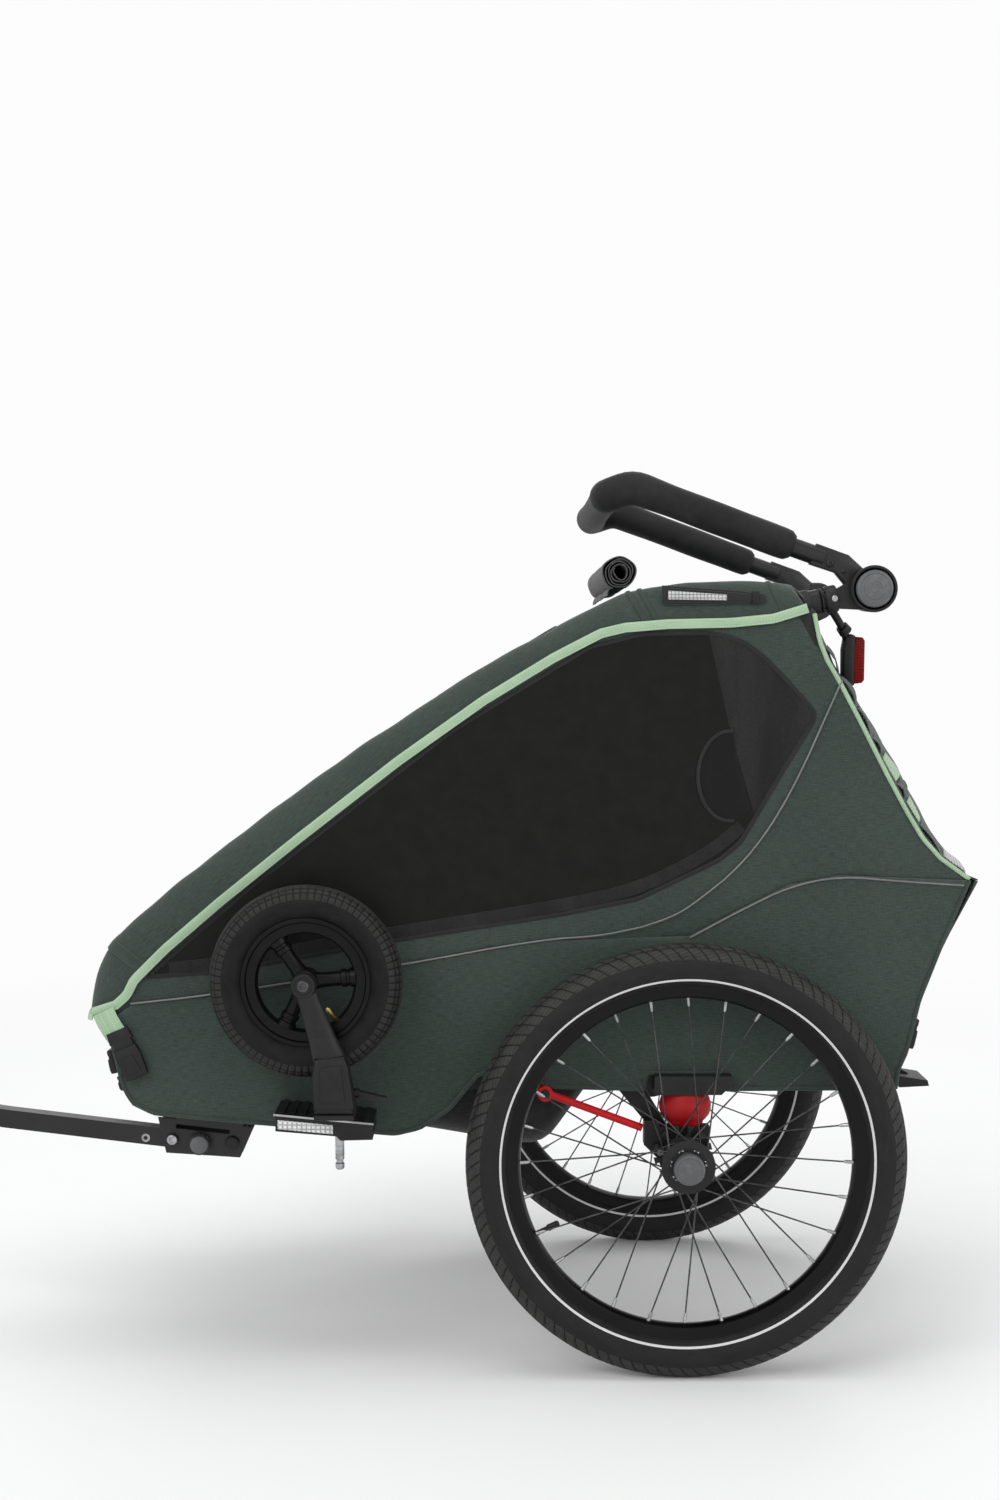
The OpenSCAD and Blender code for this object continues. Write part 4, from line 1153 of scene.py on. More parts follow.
SPOKES, RIM_SEAT, FLANGE_R, FLANGE_Y = 28, 193, 20, 25
BRAKE_R = 26
RIM = both_ends([(-12.6, 209.5), (-13.2, 208.5), (-13.0, 206.0), (-11.8, 203.0), (-11.2, 198.0), (-9.5, 194.0),
                 (-5.5, 191.6), (0, 190.9)])
RIM += [(11.0, 208.9), (9.6, 205.5), (4.0, 203.4), (-4.0, 203.4), (-9.6, 205.5), (-11.0, 208.9), (-12.6, 209.5)]
HUB = both_ends([(-30.5, 8), (-30.5, 16.5), (-28.5, 18), (-27, 24.3), (-24.6, 24.6), (-23.6, 23.8), (-22.6, 17.2),
                 (-16, 15.2), (0, 14.2)])
VALVE = [(0, 3.2), (5, 3.2), (6, 4.6), (8.5, 4.6), (9, 2.9), (24, 2.7), (24.5, 3.5), (26, 4.0), (37, 3.7), (39, 2.6),
         (39.4, 0.01)]
RELEASE = [(0, 15.5), (0, 17.8), (6.5, 17.8), (8.2, 17.0), (9.0, 15.4), (9.0, 14.6), (8.3, 14.0), (8.3, 12.0),
           (8.9, 9.0),
           (9.3, 4.0), (9.4, 0.01)]

for side, word in SIDES:
    cy = side * WHEEL_Y
    centre, wheel, tube = (0, cy, HUB_Z), f"wheel_{word}", 25.0
    tyre = torus_part(centre, WHEEL_R - tube, tube, 1040, 52, big_tread)
    place_piece(tyre, f"tyre_rubber_{word}", TYRE, wheel, smooth=50, replaces=f"tyre_{word}")
    # spokes with their nipples and heads: two to each crossing, on alternate flanges
    nipples, spokes, heads = [], [], []
    for i in range(SPOKES):
        a = math.radians(i * 360 / SPOKES)
        out = side * (1 if i % 2 == 0 else -1)
        lean = 1 if i % 4 < 2 else -1
        b = a + math.radians(70) * lean
        seat, root = polar((0, cy + out * 2.8, HUB_Z), RIM_SEAT + 0.5, a), polar(centre, FLANGE_R, b)
        nipple = [(0, 2.6), (2, 2.7), (3, 2.1), (10.5, 2.0), (12.5, 1.5), (13.5, 1.0)]
        nipples.append(lathe(nipple, seat, root + [0, out * FLANGE_Y, 0] - seat, n=10))
        elbow = root + [0, out * (FLANGE_Y + 1.5 + lean * 2.6) * 0.98, 0]
        spokes.append(sweep(resample([elbow, polar((0, cy + out * 2.8, HUB_Z), RIM_SEAT, a)], n=4), circ(0.95, 8)))
        heads.append(lathe([(0, 1.9), (1.0, 1.8), (1.6, 0.9), (1.7, 0.01)], root + [0, out * 27.2, 0], (0, out, 0),
                           n=8))
    place_piece(join(*nipples), f"nipples_{word}", STEEL, wheel, smooth=50)
    place_piece(join(*spokes), f"spoke_set_{word}", SPOKE, wheel, smooth=60, replaces=f"spokes_{word}")
    place_piece(join(*heads), f"spoke_heads_{word}", STEEL, wheel, smooth=60)
    place_piece(lathe(RIM, centre, n=160, uv_r=208), f"rim_band_{word}", RIM_PAINT, wheel, smooth=35,
                replaces=f"rim_{word}")
    place_piece(lathe(HUB, centre, n=64), f"hub_shell_{word}", FRAME_PAINT, wheel, smooth=35,
                replaces=f"wheel_hub_{word}")
    # ring of notches that the brake pin drops into
    teeth = []
    for i in range(12):
        c, s = math.cos(math.radians(30 * i)), math.sin(math.radians(30 * i))
        for u, w in ((34.3, -5.0), (BRAKE_R, -5.0), (BRAKE_R - 3.6, -3.6), (BRAKE_R - 5.0, 0), (BRAKE_R - 3.6, 3.6),
                     (BRAKE_R, 5.0), (34.3, 5.0)):
            teeth.append((u * c - w * s, HUB_Z + u * s + w * c))
    y0, y1 = sorted((side * 254.2, side * 259.4))
    place_piece(prism(teeth, y0, y1, 0.7), f"brake_rotor_{word}", FRAME_PAINT, wheel, smooth=30,
                replaces=f"brake_ring_{word}")
    guard = [(0, 22.0), (0, 30.5), (1.6, 31.0), (2.2, 29.5), (1.8, 25.5), (2.6, 24.0), (2.6, 22.0)]
    place_piece(lathe(guard, (0, side * 326.0, HUB_Z), (0, side, 0), n=72), f"hub_guard_{word}", PLASTIC, wheel,
                smooth=35)
    button = lathe(RELEASE, (0, side * 336.0, HUB_Z), (0, side, 0), n=56)
    place_piece(button, f"release_button_{word}", GREY_PLASTIC, f"hub_button_{word}", smooth=35,
                replaces=f"hub_button_{word}")
    root = polar(centre, 202, math.radians(206))
    place_piece(lathe(VALVE, root, centre - root, n=20), f"valve_{word}", PLASTIC, wheel)


# ---- stowed small wheel and fork
SW = np.array([-435.0, -300.0, 464.0])


def small_tread(u, v):
    off = np.abs(v)
    s = (u * LUGS / (TAU * 110) + np.where(v > 0, 0.5, 0.0)) % 1.0
    lug = np.clip(np.minimum(s, 1 - s) / 0.12 - 0.8, 0, 1)
    band = np.clip((26 - off) / 1.5, 0, 1) * np.clip((off - 6.5) / 1.2, 0, 1)
    rows = np.clip(np.abs(off - 14.5) / 1.0, 0, 1) * np.clip(np.abs(off - 20.5) / 0.9, 0, 1)
    mid = np.clip((4.5 - off) / 1.0, 0, 1)
    wall = np.where(off > 31, 0.12 * np.sin(off * 2.2), 0)
    return np.maximum(band * lug * rows, mid) - 0.7 * np.clip((30 - off) / 4, 0, 1) + wall


place_piece(torus_part(SW, 90.0, 20.0, 936, 44, small_tread), "small_tyre_rubber", SMALL_TYRE, "stowed_wheel",
            smooth=50,
            replaces="small_tyre")
prof = both_ends([(-12.5, 73.5), (-13.2, 71.5), (-12.6, 69.0), (-9.5, 67.5), (-8.8, 62.5), (-9.6, 60.0),
                  (-9.0, 57.5),
                  (-5.0, 55.2), (0, 54.6)])
parts = [lathe(prof + [(0, 72.6), (-12.5, 73.5)], SW, n=96, uv_r=70)]
bar = [(9, 10.5), (15, 9.6), (18, 8.8), (30, 8.4), (40, 8.6), (41, 10.4), (46, 10.6), (47, 9.4), (50, 9.4),
       (51, 11.2), (57, 11.8)]
parts += [lathe(bar, SW, polar((0, 0, 0), 1, math.radians(deg)), n=24) for deg in (125, 245, 5)]
parts.append(lathe(both_ends([(-19, 6), (-19, 12.5), (-17.5, 14), (-8, 14.5)]), SW, n=40))
place_piece(join(*parts), "small_rim_spokes", RIM_PAINT, "stowed_wheel", replaces="small_rim")
a = math.radians(308)
inward = (-0.9 * math.cos(a), -0.35, -0.9 * math.sin(a))
valve = [(0, 2.6), (8, 2.6), (9, 3.2), (16, 3.2), (17, 2.0), (19, 1.8), (19.2, 0.01)]
place_piece(lathe(valve, polar(SW, 55, a), inward, n=16), "small_valve", BRASS, "stowed_wheel")

# fork: round head on the axle, tapering leg, angular shoulder block and its flange
leg_line = resample([(-435.0, -336.0, 464.0), (-404.0, -336.0, 372.0)], n=16)
k = np.interp(np.linspace(0, 1, 16), [0, 0.25, 0.7, 1], [11.5, 12.5, 16.0, 20.0])
leg = sweep(leg_line, circ(1.0, 24), up=(0, 1, 0), scale=np.stack([k, k * 0.56], 1))
head = [(-8, 6), (-8, 13.2), (-6.5, 14.6), (5.0, 14.6), (7.2, 13.0), (7.4, 10.2), (6.6, 9.6), (6.6, 0.01)]
head = lathe(head, (-435, -336, 464), (0, -1, 0), n=40)
block = prism([(-424, 324), (-378, 324), (-381, 350), (-385, 374), (-389, 386), (-423, 382), (-426, 360)], -349,
              -320, 4.0)
shoulder = prism([(-424, 318), (-379, 318), (-381, 340), (-422, 340)], -347, -291, 5.0)
rib = prism([(-417, 332), (-388, 331), (-393, 376), (-417, 373)], -350.4, -346, 2.2)
plate = prism([(-424, 312.5), (-379, 312.5), (-379, 318.5), (-424, 318.5)], -350, -289, 1.4)
place_piece(join(leg, head, block, shoulder, rib, plate), "fork_body", PLASTIC, "stowed_fork", smooth=38,
            replaces="small_fork")
stem = [(0, 7.5), (3, 7.5), (4, 5.2), (54, 5.2), (55, 3.9), (58, 3.9), (59, 5.2), (64, 5.2), (66, 3.6), (66.2, 0.01)]
place_piece(lathe(stem, (-398, -305, 313), (0, 0, -1), n=24), "fork_stem", STEEL, "stowed_fork")
hexa = [(0, 6.4), (0.8, 6.4), (1.2, 5.6), (1.2, 3.4), (0.2, 3.2), (0.2, 0.01)]
place_piece(lathe(hexa, (-435, -343.2, 464), (0, -1, 0), n=24), "fork_axle_bolt", SPOKE, "stowed_fork",
            smooth=20)


# ---- push handle
HAND = fillet([(126, -195, 957.5), (-60, -195, 1026), (-90, -195, 1016), (-90, 195, 1016), (-60, 195, 1026),
               (126, 195, 957.5)],
              [34, 30, 30, 34], seg=10)
HAND = resample(HAND, step=6.0)
arc = run(HAND)
ends = [0, 1.5, 4, 9, 16, 150, 200, 235, 290]
k = np.interp(np.minimum(arc, arc[-1] - arc), ends, [0.82, 0.97, 1.06, 1.1, 1.12, 1.15, 1.24, 1.22, 1.08])
k = k * (1 + 0.012 * np.sin(arc / 37) + 0.008 * np.sin(arc / 13))
ob = place_piece(sweep(HAND, circ(16.0, 28), scale=k), "handle_foam", FOAM, "push_handle", smooth=60,
                 replaces="foam_grip")
DISC = [(0, 20.0), (0, 21.2), (5.2, 21.2), (7.0, 20.4), (7.9, 18.6), (7.9, 17.8), (7.3, 17.2), (7.3, 12.6),
        (7.9, 12.0),
        (7.9, 8.6), (7.4, 8.0), (7.4, 5.0), (7.9, 4.4), (7.9, 0.01)]
RING = [(0, 22.6), (0, 26.6), (1.6, 26.8), (2.6, 25.8), (2.6, 24.0), (1.4, 23.0), (1.4, 22.6)]
COLLAR = [(2, 11), (2, 15.2), (3.2, 16.2), (18.0, 16.2), (19.5, 15.0), (19.5, 11)]
BELLOWS = [(20 + i * 4 + x, r) for i in range(4) for x, r in ((0, 11.6), (1.2, 14.4), (2.6, 14.4), (3.8, 11.6))]
CLAMP = [(38, 11.0), (38, 14.6), (39.5, 15.6), (50, 15.6), (51.5, 14.6), (51.5, 11.0)]
for side, word in SIDES:
    # fold joint: the grey release disc in its seam ring
    place_piece(lathe(DISC, (215, side * 232.6, 908), (0, side, 0), n=64), f"fold_button_{word}", GREY_PLASTIC,
                f"handle_button_{word}", smooth=30, replaces=f"handle_button_{word}")
    place_piece(lathe(RING, (215, side * 232.6, 908), (0, side, 0), n=64), f"fold_ring_{word}", PLASTIC, "roof",
                smooth=30)
    y = side * 203.6
    bolts = join(bolt(168, y, 938, 4.4, side, 2.6), bolt(184, y, 929, 2.6, side, 1.6, False))
    place_piece(bolts, f"arm_bolts_{word}", FRAME_PAINT, "push_handle")
    # lower arm: worn collar, rubber bellows and the clamp that carries the lamp
    for tag, prof, material, n, smooth in (
            ("collar", COLLAR, COARSE_PLASTIC, 48, 35), ("bellows", BELLOWS, PLASTIC, 40, 50),
            ("clamp", CLAMP, PLASTIC, 40, 35)):
        part = lathe(prof, (124.0, side * 216.0, 888.4), (0.982, 0, 0.187), n=n)
        place_piece(part, f"mount_{tag}_{word}", material, "roof", smooth=smooth)
    place_piece(bolt(170, side * 231.4, 897, 3.6, side, 2.0), f"clamp_bolt_{word}", STEEL, "roof")


def handle_arm(side):
    """Flat bracket from the tube clamp to the round joint housing, wide at the housing with a hollow underneath."""
    u = unit((94.0, -33.2))
    n = np.array([-u[1], u[0]])
    a, b = np.array([149.0, 949.4]), np.array([186.0, 936.2])
    outline = [a + n * 12.6, b + n * 12.6, (207.0, 933.0), (193.5, 896.0), (191.0, 908.0), (184.0, 917.0),
               b - n * 11.5 - u * 8, a - n * 12.4]
    y0, y1 = sorted((side * 187.5, side * 203.2))
    tube = sweep([(122, side * 195, 958.6), (162, side * 195, 944.6)], circ(11.2, 28))
    drum = [(-10.5, 8), (-10.5, 23.2), (-9, 25.0), (9, 25.0), (10.5, 23.2), (10.5, 8)]
    return join(prism(outline, y0, y1, 2.2), tube, lathe(drum, (215, side * 200.5, 908), n=72))


place_piece(join(handle_arm(-1), handle_arm(1), sweep(HAND, circ(9.0, 18))), "handle_arms", FRAME_PAINT,
            "push_handle",
            smooth=35, replaces="handle_bar")


# ---- sunshade roll and roof reflectors
def roll_part():
    """Cloth wound round a core: a spiral whose layers part a little, with a loose flap."""
    core = np.array([-73, 929.0])
    t = np.linspace(0, 1, 170)
    a = t * 4.3 * TAU + 2.4
    r = 7.0 + t * 13.7 + 1.6 * np.cos(a * 2.5) * (1 - t) ** 3
    r = r + 0.8 * np.sin(a * 5) * t * (1 - t * 0.4) + 0.5 * np.sin(a * 2.3)
    line = core + np.stack([r * np.cos(a), r * 0.97 * np.sin(a)], 1)
    flap = np.array([[-1.5, 2.0], [-4.0, 1.0], [-7.5, -3.0], [-9.0, -9.0], [-9.5, -14.0]])
    line = np.vstack([line, resample(line[-1] + flap * 0.6, n=8)])
    ys = np.concatenate([[-175.5, -174], np.linspace(-170, 170, 35), [174, 175.5]])
    P = np.empty((len(line), len(ys), 3))
    s = np.arange(len(line)) / len(line)
    for j, y in enumerate(ys):
        wob = 0.5 * np.sin(y / 23 + s * 9) + 0.3 * np.sin(y / 9 + s * 21)
        q = line + (line - core) * (wob * s / 21)[:, None]
        P[:, j, 0], P[:, j, 1], P[:, j, 2] = q[:, 0], y + 1.4 * np.sin(s * 31) * np.sign(y), q[:, 1]
    return grid(P)


v, f, l = roll_part()
roll = piece("sunshade_cloth", v, f, SHADE_CLOTH, l, smooth=60)
dress_sheet(roll, "roof", "sunshade_roll", 1.3, offset=0.0, held="folded", flat=(0.352, 0.405))
REFLECTOR = (
    ("strap", BLACK_WEB, None, [(-27, 892), (-27, 909), (60, 903), (88, 899), (88, 893), (40, 891)], 239.6, 242.2,
     1.0),
    ("edge", BLACK_CLOTH, None, [(-29, 889.5), (90, 891), (90, 901), (60, 905.5), (-29, 911.5)], 239.2, 241.0, 0.8),
    ("patch", HONEYCOMB, "prism_white", [(-22, 895.5), (-22, 905.5), (45, 901), (45, 894.5)], 241.9, 243.0, 0.5),
    ("loop", PLASTIC, None, [(74, 890), (82, 890), (82, 905), (74, 905)], 241.0, 243.6, 0.8))
for side, word in SIDES:
    for tag, material, slot, outline, y0, y1, bevel in REFLECTOR:
        part = on_hand(prism(outline, y0, y1, bevel), side)
        place_piece(part, f"roof_reflector_{tag}_{word}", material, "roof",
                    replaces="roof_reflectors" if tag == "patch" and side > 0 else None)

# ---- rear lamp
shell = prism([(191, 800), (199, 796.5), (204, 798), (204, 856), (199, 858), (193, 855), (190.5, 840)], -177.5,
              -150.5, 2.4)
stalk = sweep(smooth_line([(168, -199, 889), (176, -196, 880), (190, -178, 862), (196, -166, 850)], step=3),
              circ(4.6, 16))
cup = lathe([(0, 4), (0, 7.2), (9, 8.0), (10, 6)], (187, -181, 866), (0.62, 0.44, -0.65), n=24)
place_piece(join(shell, stalk, cup), "lamp_shell", PLASTIC, "roof", replaces="rear_light_body")
glass = prism([(203.6, 799.5), (213, 800.5), (215.8, 804), (215.8, 850), (213, 854), (203.6, 855)], -176, -152, 1.8)
place_piece(glass, "lamp_glass", RED_LENS, "roof", replaces="rear_light_lens")

# ---- suspension, tow bracket and arm
BUMP = [(-20.5, 6), (-20.5, 18.5), (-19, 20.5), (-15, 21.5), (-12, 24.5), (-7, 28.5), (-1, 30.4), (5, 30.6),
        (11, 29.0),
        (15, 27.4), (18.8, 26.6), (20.2, 25.0), (20.2, 6)]
for side, word in SIDES:
    place_piece(lathe(BUMP, (4, side * 234, 304), (0, 0, 1), n=64), f"elastomer_bump_{word}", RED_RUBBER,
                f"suspension_{word}", smooth=50, replaces=f"elastomer_{word}")
place_piece(bolt(-604, -212.2, 261, 6.0, -1, 2.6), "tow_bolt", STEEL, "chassis")
place_piece(bolt(-637, -201.5, 261, 5.0, -1, 0.9), "arm_bolt", STEEL, "tow_arm")
bush = [(-4, 5.6), (-4, 8.2), (0.4, 8.2), (1.2, 7.4), (1.2, 5.6)]
place_piece(lathe(bush, (-533, -211, 256), (0, -1, 0), n=40), "tow_bush", PLASTIC, "chassis", smooth=35)
# the knob of the tow arm's lock, with a knurled grip
KNURLS = 96
a = turn(KNURLS)
rad = 12.2 + 0.55 * np.cos(a * 24)
rings = [np.stack([-571 + rad * s * np.cos(a), np.full(KNURLS, y), 256 + rad * s * np.sin(a)], 1)
         for y, s in ((-208.5, 0.90), (-209.5, 1.0), (-218.5, 1.0), (-220.6, 0.92), (-221.4, 0.80))]
v, f, l = grid(rings, wrap_v=True)
f = [q[::-1] for q in f] + [[4 * KNURLS + i for i in reversed(range(KNURLS))]]
place_piece((v, f, l + [(0, 0)] * KNURLS), "tow_knob_grip", GREY_PLASTIC, "lock_knob")

# ---- wheel holder: step plate and its reflector
for side, word in SIDES:
    plate = prism([(-471, 314.5), (-359, 303.5), (-359, 298.5), (-471, 309.5)], 230, 323, 1.4)
    body = [(-470, 311), (-359.5, 300), (-359.5, 284.5), (-396, 283.5), (-401, 288.5), (-470, 294.5)]
    arm = prism([(-452, 302), (-372, 296), (-372, 290), (-452, 294)], 205, 240, 1.5)
    edge = prism([(-472, 315.6), (-358, 304.4), (-358, 301.8), (-472, 312.8)], 321.6, 324.4, 0.9)
    face = prism([(-467.2, 308.0), (-404.5, 302.0), (-404.5, 291.4), (-467.2, 297.4)], 321.4, 323.4, 0.7)
    ribs = []
    for i in range(9):
        if side > 0 or i not in (5, 6):  # on the left the wheel's pin stands there
            x, z = -466 + i * 12, 314.6 - i * 1.18
            ribs.append(prism([(x, z), (x + 6, z - 0.6), (x + 6, z + 0.6), (x, z + 1.2)], 236, 318, 0.5))
    for part, tag, material, smooth, node in (
            (join(plate, prism(body, 236, 322.4, 1.6), arm), "body", PLASTIC, 38, "wheel_holders"),
            (edge, "edge", STEEL, 40, None), (join(*ribs), "ribs", PLASTIC, 40, None),
            (face, "reflector", WHITE_LENS, 40, "step_reflectors")):
        place_piece(on_hand(part, side), f"step_{tag}_{word}", material, "chassis", smooth=smooth,
                    replaces=node if side < 0 else None)


# ---- straps and buckles
def buckle(w, h):
    """Side-release buckle about the origin, w wide in X and h high in Z, standing 10 mm out along +Y."""
    def part(xz, y0, y1, bevel):
        right = [(x * w + dx, z * h) for x, dx, z in xz]
        return prism([(-x, z) for x, z in right] + right[::-1], y0, y1, bevel)
    return join(part([(0.5, -1.4, 0.14), (0.5, 0, -0.08), (0.5, -1.5, -0.5)], 0, 9.0, 2.2),
                part([(0.21, 0, -0.04), (0.26, 0, -0.40)], 8.2, 10.0, 0.9),
                part([(0.38, 0, 0.32), (0.40, 0, 0.10)], 0.8, 7.4, 1.2),
                part([(0.5, -2.4, 0.5), (0.5, -0.8, 0.27)], 0.4, 8.0, 2.0))


def set_buckle(w, h, centre, right, up, name, side):
    """Places a buckle by its centre, the direction of its width and the direction of its height."""
    v, f, l = buckle(w, h)
    right, up = unit(right), unit(up)
    v = np.asarray(centre, float) + v[:, :1] * right + v[:, 1:2] * np.cross(up, right) + v[:, 2:] * up
    return place_piece(on_hand((v, f, l), side), name, PLASTIC, "chassis")


HOOD_STRAP = [(-689, 416), (-684, 404), (-677, 390), (-671, 376), (-667, 362), (-664, 349), (-660, 338), (-655, 326),
              (-646, 314)]
for side, word in SIDES:
    c, s = math.cos(math.radians(23)), math.sin(math.radians(23))
    ob = set_buckle(31, 60, (-649, 243.2, 371), (c, 0, s), (-s, 0, c), f"front_buckle_{word}", side)
    if side < 0:
        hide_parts("strap_buckles")
    tab = on_side([(-677, 420), (-672, 410), (-666, 400), (-660, 391)], [243.0, 245.5, 247.0, 247.0], side)
    strip(tab, 26, 1.8, (0, side, 0), f"front_tab_{word}", MINT, "chassis")
    # the hood's own strap hangs in front of the wall, with a buckle and a latch
    strip(on_side(HOOD_STRAP, 221, side), 16, 1.8, (-0.96, 0, -0.26), f"hood_strap_{word}", BLACK_WEB, "chassis")
    set_buckle(21, 28, (-666, 221, 359), (0, 1, 0), (-0.22, 0, 0.975), f"hood_buckle_{word}", side)
    set_buckle(18, 18, (-655.5, 221, 334), (0, 1, 0), (-0.34, 0, 0.94), f"hood_latch_{word}", side)
    # rear buckle, standing on the back wall
    set_buckle(22, 36, (272.5, 200, 388), (0, -1, 0), (0.22, 0, 0.975), f"rear_buckle_{word}", side)
    rear_line = on_side([(284, 442), (283, 424), (279, 408)], 200, side)
    strip(rear_line, 18, 1.8, (1, 0, -0.22), f"rear_strap_{word}", BLACK_WEB, "chassis")


# ---- inside: foot well, seat, back rest and harness
def foot_well():
    """A hanging shell with rounded lower corners, open at the top."""
    rim, half, r = 346, 198.0, 26.0
    line = fillet([(-602, 0, rim), (-588, 0, 304), (-340, 0, 276), (-163, 0, 246), (-92, 0, rim)], [26, 60, 40], 6)
    rows = []
    for i, (x, z) in enumerate(resample(line[:, [0, 2]], n=46)):
        depth = rim - z
        corner = min(depth, r) if depth > 1 else 0
        left = [(-half, rim - (depth - min(depth, r)) * q) for q in np.linspace(0, 1, 5)[:-1]]
        for a in np.linspace(0, math.pi / 2, 9):
            left.append((-half + r * (1 - math.cos(a)), z + corner * (1 - math.sin(a))))
        wave = 0.9 * math.sin(math.pi * i / 45)
        mid = [(y, z + wave * math.sin(y / 21)) for y in np.linspace(r - half, half - r, 25)[1:-1]]
        rows.append([(x, y, z) for y, z in left + mid + [(-y, z) for y, z in left[::-1]]])
    return grid(rows)


v, f, l = foot_well()
dress_sheet(piece("foot_well_cloth", v, f, BLACK_CLOTH, l, smooth=60), "chassis", "foot_well", 2.4, offset=0.0,
            held="hung")


def pad_block(outline, depth, crown, rows=9):
    """A closed, crowned pad: rings of the outline drawn in towards front and back. Points are (depth, y, z)."""
    o = resample(np.vstack([outline, outline[:1]]), n=65)[:-1]
    c, n = o.mean(0), len(o)
    rings = [(1 - (1 - math.cos(a)) * 0.10, math.sin(a) * depth / 2) for a in np.linspace(0, math.pi / 2, rows)]
    rings += [(s, depth / 2 + crown * (1 - s ** 2)) for s in np.linspace(0.8, 0.04, 12)]
    front = [np.column_stack([np.full(n, d), c + (o - c) * s]) for s, d in rings]
    P = np.array([g * [-1, 1, 1] for g in front[:0:-1]] + front)
    v, f, _ = grid(P, wrap_v=True)
    return v, f + [list(range(n)), [(len(P) - 1) * n + i for i in reversed(range(n))]]


def puff(ob, cap, pressure=4.0, voxel=0.006):
    """Remesh, inflate as cloth, and cap how far a point may move."""
    m = ob.modifiers.new("remesh", "REMESH")
    m.mode, m.voxel_size = "VOXEL", voxel
    apply_all(ob)
    start = np.array([v.co for v in ob.data.vertices])
    s = ob.modifiers.new("cloth", "CLOTH").settings
    s.use_pressure, s.uniform_pressure_force = True, pressure
    s.effector_weights.gravity = 0.0
    s.quality = 4
    s.tension_stiffness = s.compression_stiffness = 25
    for frame_number in range(1, 21):
        bpy.context.scene.frame_set(frame_number)
    apply_all(ob)
    d = np.array([v.co for v in ob.data.vertices]) - start
    d *= np.minimum(1, cap / 1000 / np.maximum(np.linalg.norm(d, axis=1), 1e-9))[:, None]
    ob.data.vertices.foreach_set("co", (start + d).ravel())
    ob.data.update()
    bpy.context.scene.frame_set(1)


def channel(ob, seams, depth):
    """Presses sewn channels into a pad. Each seam gives its distance from an array of points, in metres."""
    me = ob.data
    co = np.array([v.co for v in me.vertices])
    no = np.array([v.normal for v in me.vertices])
    dip = np.max([np.exp(-(seam(co) / 0.0045) ** 2) for seam in seams], axis=0)
    me.vertices.foreach_set("co", (co - no * (dip * depth)[:, None]).ravel())
    me.update()


def seams_at(axis, places, half):
    """A seam along each side of the pad, at half from its middle, and seams across at the given places."""
    def across(place):
        return lambda c: np.abs(c[:, axis] - place) + (np.abs(c[:, 1]) > half) * 0.02
    return [lambda c: np.abs(np.abs(c[:, 1]) - half)] + [across(p) for p in places]


def pad(name, node, body, block, place, cap, uv_axes, seams=(), seam_depth=0.0):
    """A pad from its block: placed, inflated, seamed and covered. UV comes from two of the axes, in metres."""
    v, f = block
    ob = piece(name, place(v), [q[::-1] for q in f], SEAT, None, smooth=0)
    puff(ob, cap)
    m = ob.modifiers.new("sub", "SUBSURF")
    m.levels = m.render_levels = 1
    apply_all(ob)
    if seams:
        channel(ob, seams, seam_depth)
    me = ob.data
    layer = me.uv_layers.get("UVMap") or me.uv_layers.new(name="UVMap")
    co = np.array([me.vertices[l.vertex_index].co for l in me.loops])
    layer.data.foreach_set("uv", co[:, uv_axes].astype(np.float32).ravel())
    me.materials.clear()
    me.materials.append(SEAT)
    me.shade_smooth()
    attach(ob, body)
    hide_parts(node)


def rounded(y0, y1, z0, z1, r, waist=0.0):
    """Outline of a pad with rounded corners, drawn in at its middle by the waist."""
    p = rrect(y0, y1, z0, z1, r, 5)
    p = resample(np.vstack([p, p[:1]]), n=61)[:-1]
    k = np.cos((p[:, 1] - (z0 + z1) / 2) / (z1 - z0) * math.pi)
    p[:, 0] -= np.sign(p[:, 0]) * waist * np.clip(k, 0, 1)
    return p


LEAN = math.radians(5.4)  # of the back rest, about its hinge


def leaned(v):
    """Back rest points (x along its depth, y, z up it) from the hinge to the axle frame."""
    x, z = v[:, 0], v[:, 2]
    return np.stack([125 + x * math.cos(LEAN) + z * math.sin(LEAN), v[:, 1],
                     420 - x * math.sin(LEAN) + z * math.cos(LEAN)], 1)


def on_backrest(x):
    """Stands a pad on the back rest, facing forward with its middle at x."""
    return lambda v: leaned(v * [-1, 1, 1] + [x, 0, 0])


seat_x = at(-7, 0, 0)[0]
pad("seat_pad", "seat_cushion", "chassis", pad_block(rounded(-172, 172, -97, 97, 30), 18, 3.0),
    lambda v: v[:, [2, 1, 0]] + [-7, 0, 369.5], 6, [0, 1],
    seams_at(0, (seat_x + 0.030, seat_x - 0.035), 0.062), 0.0035)
pad("back_pad", "backrest_pad", "backrest", pad_block(rounded(-166, 166, 21, 360, 34, 7), 16, 2.5), on_backrest(-22),
    5,
    [1, 2], seams_at(2, (0.52, 0.60, 0.68), 0.075), 0.003)
pad("head_pad", "headrest", "backrest", pad_block(rounded(-104, 104, 267, 359, 38), 16, 4.0), on_backrest(-48), 5,
    [1, 2])

